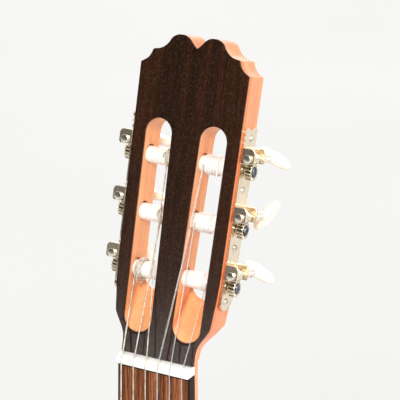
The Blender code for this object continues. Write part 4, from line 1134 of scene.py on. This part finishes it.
def string_route(number):
    """The taut path of a string: roller, nut, saddle, tie block and the knot over it."""
    radius = STRING_DIAMETERS[number - 1] / 2
    at_nut, at_saddle = string_x(number, 0), string_x(number, 1)
    on_roller = POST_DEPTH - ROLLER_RADIUS - radius - 0.04
    height = post_height(number)
    route = [head_point(WINDING_X[number - 1], on_roller, height),
             head_point(WINDING_X[number - 1], on_roller, height - 0.8)]
    if number in (3, 4):
        x, w, v = SLOT_EDGE_BEND
        for lift in (1.5, 0.0, -1.5):
            near = head_point(math.copysign(x, at_nut), w, v)
            towards = route[0] if lift > 0 else head_point(at_nut, -3.4, 4.0)
            route.append(near + (towards - near).normalized() * abs(lift))
    y = OVER_NUT - radius
    for drop, z in ((1.6, 6.4), (0.85, 4.2), (0.2, 2.6), (0.0, 1.6), (0.0, 0.4)):
        route.append(Vector((at_nut, y + drop, z)))
    y = SADDLE_TOP - radius
    for share in (0.25, 0.5, 0.75):
        route.append(route[-1].lerp(Vector((at_saddle, y, 1.2 - SADDLE_AT)), share))
    for height, z in ((y, 0.9), (y, -0.2), (y + 0.5, -1.1), (-6.6, -7.4)):
        route.append(Vector((at_saddle, height, z - SADDLE_AT)))
    route += [Vector((at_saddle + x, y, z - BRIDGE_SPAN[1])) for x, y, z in TIE_KNOT]
    return route


def make_string(number):
    radius = STRING_DIAMETERS[number - 1] / 2
    wound = number > 3
    route, knot = string_route(number), len(TIE_KNOT)
    path = smooth_line(route[:-knot], 1) + smooth_line(route[-knot:], 5)
    piece(f"taut_string_{number}", tube(path, radius, 12), WORK, WIRE if wound else NYLON,
          replaces=(f"string_{number}",), smooth=60)
    turns, pitch, loose, tail = WINDINGS[number]
    height = post_height(number)
    steps = int(turns * 28)
    points = []
    for i in range(steps + 1):
        turn = turns * i / steps
        angle = 2 * math.pi * turn
        x = WINDING_X[number - 1] + pitch * max(0.0, turn - 0.15)
        around = ROLLER_RADIUS + radius + between(0.04, loose, smooth_step(2 * turn))
        points.append(Vector((x, POST_DEPTH - around * math.cos(angle), height + around * math.sin(angle))))
    end = points[-1]
    tail_points = [points[-3], end]
    tail_points += [Vector((end.x + x, POST_DEPTH + w, height + v)) for x, w, v in tail]
    points = points[:-3] + [Vector(point) for point in smooth_line(tail_points, 8)]
    piece(f"winding_{number}", tube(points, radius, 10), HEAD, HEAD_WIRE if wound else COILED_NYLON,
          body=f"post_{number}", smooth=60)


# ---------------------------------------------------------------- tuning machines

def plate_outline(forward):
    """One plate as (w, v): scalloped top, round foot, and set back where its tabs are folded out."""
    front_steps = ((3.5, -7.0), (3.4, 3.6), (3.8, 4.3), (3.9, 5.0), (3.9, 13.2), (3.6, 14.0), (2.9, 14.6),
                   (2.8, 15.7), (3.9, 16.4), (3.9, 16.9), (3.4, 17.6))
    back_steps = ((PLATE_BACK, -6.0), (PLATE_BACK, 13.6), (18.2, 14.2), (18.5, 15.0), (18.0, 16.2),
                  (18.3, 17.4))
    front, back = [], []
    for row in range(3):
        v = FIRST_POST + row * POST_PITCH
        front += [(w, v + step) for w, step in front_steps]
        back += [(w, v + step) for w, step in back_steps]
    front = front[:-5] + [(3.3, 136.6), (4.0, 137.6), (4.0, 138.2), (3.0, 139.2), (3.0, 140.0),
                          (4.0, 140.8), (3.1, 142.0)]
    top = [(3.2, 143.6), (4.2, 145.2), (6.2, 145.8), (8.4, 145.4), (9.8, 144.6), (10.8, 144.0),
           (11.8, 144.6), (13.4, 145.6), (15.8, 146.0), (17.8, 145.2), (PLATE_BACK, 143.4),
           (PLATE_BACK, 139.0)]
    foot = [(18.0, 42.0), (17.0, 40.2), (15.2, 37.9), (12.6, 36.2), (9.6, 35.5), (6.6, 36.0), (4.4, 37.3),
            (3.4, 39.2), (3.6, 41.0)]
    line = front + top + back[-4::-1] + foot
    shifted = [(w - forward * min(1.0, max(0.0, (10 - w) / 5)), v) for w, v in line]
    return smooth_line(shifted, 3, closed=True)


def bearing_tab(side, v, low):
    """A rounded ear folded out of the plate, with a hole for the worm's shaft."""
    inner, thick = 0.6, 1.3
    outline = [(inner, v - 3.0)] + arc((SHAFT_OFFSET + 2.7, v - 1.4), 1.6, -90, 0, 6)
    outline += arc((SHAFT_OFFSET + 1.4, v + 3.2), 2.9, 0, 90, 8) + [(inner, v + 6.1)]
    tab = soften(prism([(side * a, b) for a, b in outline], low, low + thick, on_head), 0.35, 3, 50)
    hole = prism(circle((side * SHAFT_OFFSET, v), 1.75, 20), low - 3, low + 5, on_head)
    return combine(tab, [hole], "DIFFERENCE")


def lean(bm, side):
    """Moves points from a plate on the centre plane out to the head's tapered side."""
    lower, upper = side_half_width(1), side_half_width(3)
    for vertex in bm.verts:
        share = (vertex.co.z - FIRST_POST) / (2 * POST_PITCH)
        vertex.co.x += side * between(lower, upper, share)


def slotted_screw(at, side, profile, sides, width, floor, degrees):
    """A screw's head that stands out from x = at, with a slot across it."""
    head = turned([(at + side * out, radius) for out, radius in profile], sides, "X")
    slot = box(sorted((at + side * floor, at + side * 3)), (-width / 2, width / 2), (-4, 4))
    moved(slot, Matrix.Rotation(math.radians(degrees), 4, "X"))
    return combine(head, [slot], "DIFFERENCE")


def make_plate(name, side, forward):
    face = PLATE_GAP + PLATE_THICKNESS
    plate = soften(prism(plate_outline(forward), side * PLATE_GAP, side * face, on_side), 0.28, 2, 50)
    holes, tabs = [], []
    for row in range(3):
        v = FIRST_POST + row * POST_PITCH
        hole = turned([(-5.0, 2.5), (5.0, 2.5)], 28, "X")
        holes.append(moved(hole, Matrix.Translation((0, POST_DEPTH, v))))
        tabs += [bearing_tab(side, v + WORM_RISE, low) for low in (3.1 - forward, 17.2)]
    plate = combine(combine(plate, holes, "DIFFERENCE"), tabs, "UNION")
    lean(plate, side)
    piece(f"{name}_nickel", plate, HEAD, NICKEL, replaces=(name,), smooth=30)
    screws = []
    for w, v in PLATE_SCREWS:
        screw = slotted_screw(side * face, side, PLATE_SCREW_HEAD, 28, 0.64, 0.55, 20 + 37 * v)
        screws.append(moved(screw, Matrix.Translation((0, w, v))))
    screws = joined(screws)
    lean(screws, side)
    piece(f"{name}_screws", screws, HEAD, SCREW_STEEL, smooth=30)


def gear_outline():
    """The gear's edge as (radius, angle) pairs, with rounded teeth; one points up."""
    flank = ((5.4, 1.6), (5.3, 3.6), (4.95, 5.6), (4.35, 7.4), (4.0, 9.8))
    tooth = [(4.05, -12.4)] + [(radius, -angle) for radius, angle in reversed(flank)] + list(flank)
    edge = []
    for k in range(GEAR_TEETH):
        middle = 90 + k * 360 / GEAR_TEETH
        edge += [(radius, math.radians(middle + angle)) for radius, angle in tooth]
    return edge


def make_gear(number):
    """The worm wheel with its hub and spindle, a dark ring of painted shade between its teeth, and its screw."""
    side = side_of(number)
    x0 = side * side_half_width(number)
    lead = WORM_PITCH / (2 * math.pi * WORM_PITCH_RADIUS)
    inner, outer = x0 + side * GEAR_INNER_FACE, x0 + side * (GEAR_INNER_FACE + GEAR_WIDTH)
    rings = []
    for share in (0.0, 0.07, 0.3, 0.5, 0.7, 0.93, 1.0):
        x = between(inner, outer, share)
        turn = lead * (x - (inner + outer) / 2) / GEAR_PITCH_RADIUS
        shrink = 0.35 if share in (0.0, 1.0) else 0.0
        edge = [(r - shrink, a + turn) for r, a in gear_outline()]
        rings.append([(x, r * math.cos(a), r * math.sin(a)) for r, a in edge])
    dish = turned([(outer - side * 0.5, 3.45), (outer + side * 3, 3.45)], 40, "X")
    gear = combine(loft(rings), [dish], "DIFFERENCE")
    spindle = turned([(side * 5.3, 1.6), (side * 5.6, 1.9), (outer - side * 1.0, 1.9)], 24, "X")
    hub = turned([(x0 + side * 1.7, 2.3), (x0 + side * 2.0, 2.7), (inner + side * 0.5, 2.7)], 28, "X")
    gear = combine(gear, [spindle, hub], "UNION")
    place, body = HEAD @ post_place(number), f"post_{number}"
    piece(f"worm_wheel_{number}", gear, place, GEAR_METAL, body, (f"gear_{number}",), 30)
    # painted shade: a dark ring inside the teeth, so the gaps between them show dark
    teeth_shade = turned([(inner + side * 0.3, 4.3), (outer - side * 0.3, 4.3)], 48, "X")
    piece(f"wheel_teeth_shade_{number}", teeth_shade, place, TEETH_SHADE, body, smooth=30)
    screw = slotted_screw(outer, side, WHEEL_SCREW_HEAD, 36, 0.84, 0.35, 35 + 50 * number)
    piece(f"wheel_screw_{number}", screw, place, WHEEL_STEEL, body, smooth=30)


def make_roller(number):
    side = side_of(number)
    end = side_half_width(number) - 0.6
    r = ROLLER_RADIUS
    profile = [(5.7, r - 0.8), (5.9, r - 0.35), (6.5, r), (end - 0.8, r), (end - 0.2, r - 0.3),
               (end, r - 0.8)]
    roller = turned([(side * x, radius) for x, radius in profile], 64, "X")
    bore = turned([(side * 3.0, 2.1), (side * (end + 3), 2.1)], 32, "X")
    inwards = 1 if abs(WINDING_X[number - 1]) > 15 else -1
    string_hole = Matrix.Translation((WINDING_X[number - 1] + side * inwards * 1.6, 0, 0))
    string_hole @= Matrix.Rotation(math.radians(48), 4, "X")
    across = moved(turned([(-9, 0.8), (9, 0.8)], 16, "Y"), string_hole)
    roller = combine(roller, [bore, across], "DIFFERENCE")
    piece(f"white_roller_{number}", roller, HEAD @ post_place(number), ROLLER_PLASTIC,
          f"post_{number}", (f"roller_{number}",), 30)


def worm_thread(radius):
    """One right-hand thread about the Y axis, centred on the gear, fading out at both ends."""
    turns, per_turn, root = 3.4, 28, 1.5
    steps = int(turns * per_turn)
    rings = []
    for i in range(steps + 1):
        turn = turns * (i / steps - 0.5)
        angle = 2 * math.pi * turn
        tip = between(1.7, radius, smooth_step(min(i, steps - i) / (0.25 * per_turn)))
        flank = ((root, 0.62), (tip - 0.2, 0.32), (tip, 0.18))
        middle = POST_DEPTH + WORM_PITCH * turn
        profile = [(r, middle - out) for r, out in flank] + [(r, middle + out) for r, out in reversed(flank)]
        rings.append([(r * math.sin(angle), y, r * math.cos(angle)) for r, y in profile])
    return loft(rings)


def knob_place(number):
    """The knob's shaft at the face of the head, in the frame."""
    x = side_of(number) * (side_half_width(number) + SHAFT_OFFSET)
    return HEAD @ Matrix.Translation((x, 0, post_height(number) + WORM_RISE))


def make_worm(number):
    """The shaft with its boss in front, worm, collar and bead, from the front to the button."""
    boss = ((1.6, 0.0), (1.6, 2.2), (1.65, 2.35), (1.8, 2.5), (2.8, 2.5), (2.95, 2.4), (2.95, 1.45))
    shaft = [
        (4.7, 1.45), (4.7, 1.95), (16.9, 1.95), (16.9, 1.45), (18.8, 1.45), (18.8, 2.9), (19.1, 3.15),
        (20.2, 3.15), (20.5, 2.75), (20.8, 2.6), (21.1, 2.85), (21.5, 3.0), (22.1, 3.0), (22.4, 2.5),
        (22.8, 2.2), (23.2, 2.35), (23.8, 2.75), (24.6, 2.8), (25.3, 2.45), (26.0, 1.9), (27.2, 1.65),
        (28.0, 1.75), (28.8, 2.4), (29.8, 2.75), (30.8, 2.7), (31.8, 2.3), (32.6, 1.9), (33.4, 1.85),
    ]
    forward = 0.0 if side_of(number) > 0 else BASS_PLATE_FORWARD
    profile = [(y - forward, radius) for y, radius in boss] + shaft
    worm = combine(turned(profile, 40, "Y"), [worm_thread(3.2)], "UNION")
    piece(f"bright_worm_{number}", worm, knob_place(number), WORM_METAL, f"knob_{number}",
          (f"worm_{number}",), 30)


def make_button(number):
    """An oval grip: thicker round its rim, slightly hollow on both sides, with a neck round the shaft."""
    wide, long, thick = 11.5, 7.5, 2.9
    columns, levels, rim_angle = 56, 10, math.radians(68)
    rings = []
    for k in range(levels + 1):
        lift = between(-rim_angle, rim_angle, k / levels)
        share, height = math.cos(lift) ** 0.55, math.sin(lift) / math.sin(rim_angle)
        lowest = BUTTON_CENTRE - long + 0.7 + 0.25 * abs(height)
        ring = []
        for i in range(columns):
            a = 2 * math.pi * i / columns
            y = max(BUTTON_CENTRE + long * share * math.sin(a), lowest)
            ring.append((wide * share * math.cos(a), y, thick * height))
        rings.append(ring)
    for end, sign in ((rings[0], 1), (rings[-1], -1)):
        caps = []
        for share, dip in ((0.82, 0.12), (0.6, 0.45), (0.35, 0.68), (0.12, 0.75)):
            caps.append([(x * share, between(BUTTON_CENTRE, y, share), z + sign * dip) for x, y, z in end])
        rings = caps[::-1] + rings if sign > 0 else rings + caps
    neck = turned([(31.9, 2.2), (32.3, 2.7), (33.5, 3.0), (36.5, 2.2)], 40, "Y")
    turn = Matrix.Rotation(math.radians(-BUTTON_ANGLES[number - 1]), 4, "Y")
    button = combine(moved(loft(rings), turn), [neck], "UNION")
    piece(f"oval_button_{number}", button, knob_place(number), BUTTON_PLASTIC,
          f"knob_{number}", (f"button_{number}",), 50)


# ---------------------------------------------------------------- assembly, floor, lights and camera

def dress_inner_parts():
    """The glued parts inside the box keep their shapes and get an unfinished wood."""
    for node in frame["nodes"].values():
        if not node.hide_render:
            for slot in node.material_slots:
                slot.material = INNER_WOOD


def make_floor():
    size, z = 60.0, CAD_BOX[0].z
    mesh = bpy.data.meshes.new("floor")
    corners = [(-size, -size, z), (size, -size, z), (size, size, z), (-size, size, z)]
    mesh.from_pydata(corners, [], [(0, 1, 2, 3)])
    n = Nodes("pale_floor")
    cloud = n.noise(n.mapped((0.001, 0.001, 0.001)), 0.7, 3.0)
    grey = n.ramp(cloud, ((0.3, (0.56, 0.56, 0.555)), (0.7, (0.585, 0.585, 0.58))))
    mesh.materials.append(n.set(colour=grey, roughness=0.9))
    floor = linked("floor", mesh)


def soft_light(name, towards, strength, spread, colour=(1, 1, 1)):
    """A sun of a wide angle: shadows stay soft and the floor gets the same light everywhere."""
    data = bpy.data.lights.new(name, "SUN")
    data.energy = strength
    data.angle = math.radians(spread)
    data.color = colour
    light = linked(name, data)
    light.rotation_euler = (-Vector(towards)).to_track_quat("-Z", "Y").to_euler()


def low_panel():
    """A dim low panel to the left in front, whose glow lies on the lacquer next to the nut."""
    data = bpy.data.lights.new("low_panel", "AREA")
    data.shape = "SQUARE"
    data.size = 0.6
    data.energy = 22.0
    light = linked("low_panel", data)
    place = Vector((-1.39, -2.66, -0.33))
    light.location = place
    light.rotation_euler = (-place).to_track_quat("-Z", "Y").to_euler()
    light.visible_camera = False
    lacquered = bpy.data.collections.new("lacquered_face")
    lacquered.objects.link(bpy.data.objects["dark_head_veneer"])
    light.light_linking.receiver_collection = lacquered


def make_world():
    """A pale studio, darker in front of the head's face, as seen in its polished metal."""
    darkest_towards = Vector((-0.42, -0.86, 0.22)).normalized()
    world = bpy.data.worlds.new("studio")
    world.use_nodes = True
    bpy.context.scene.world = world
    tree = world.node_tree
    coords = tree.nodes.new("ShaderNodeTexCoord")
    dot = tree.nodes.new("ShaderNodeVectorMath")
    dot.operation = "DOT_PRODUCT"
    dot.inputs[1].default_value = darkest_towards
    tree.links.new(coords.outputs["Generated"], dot.inputs[0])
    ramp = tree.nodes.new("ShaderNodeValToRGB")
    stops = ((0.55, (1, 1, 1, 1)), (0.94, (0.055, 0.05, 0.045, 1)))
    for element, (position, colour) in zip(ramp.color_ramp.elements, stops):
        element.position = position
        element.color = colour
    tree.links.new(dot.outputs["Value"], ramp.inputs["Fac"])
    background = tree.nodes["Background"]
    background.inputs["Strength"].default_value = 0.76
    tree.links.new(ramp.outputs["Color"], background.inputs["Color"])


def make_camera():
    data = bpy.data.cameras.new("camera")
    data.sensor_width = 36.0
    data.lens = CAMERA_LENS
    data.clip_start, data.clip_end = 0.05, 200.0
    camera = linked("camera", data)
    forward, up = Vector(CAMERA_FORWARD), Vector(CAMERA_UP)
    up.rotate(Quaternion(forward, math.radians(CAMERA_ROLL)))
    across = forward.cross(up).normalized()
    turn = Matrix((across, up, -forward)).transposed().to_4x4()
    camera.matrix_world = Matrix.Translation(CAMERA_PLACE) @ turn
    bpy.context.scene.camera = camera


def main():
    make_camera()
    make_soundboard()
    make_edges()
    make_ribs()
    make_back()
    make_bridge()
    make_neck()
    make_head()
    make_head_face()
    make_heel_cap()
    make_fingerboard()
    make_nut()
    make_plate("treble_machine_plate", 1, 0.0)
    make_plate("bass_machine_plate", -1, BASS_PLATE_FORWARD)
    for number in STRINGS:
        make_string(number)
        make_gear(number)
        make_roller(number)
        make_worm(number)
        make_button(number)
    dress_inner_parts()
    make_floor()
    make_world()
    soft_light("key", (2.4, -5.7, 4.4), 1.95, 16.0, (1.0, 0.985, 0.96))
    soft_light("right_fill", (5.0, -0.6, 1.6), 1.4, 28.0)
    low_panel()
    soft_light("back_light", (-2.0, 5.8, 3.4), 1.0, 32.0)
    bpy.context.scene.view_settings.view_transform = "Standard"
    bpy.context.scene.view_settings.exposure = 0.25


main()
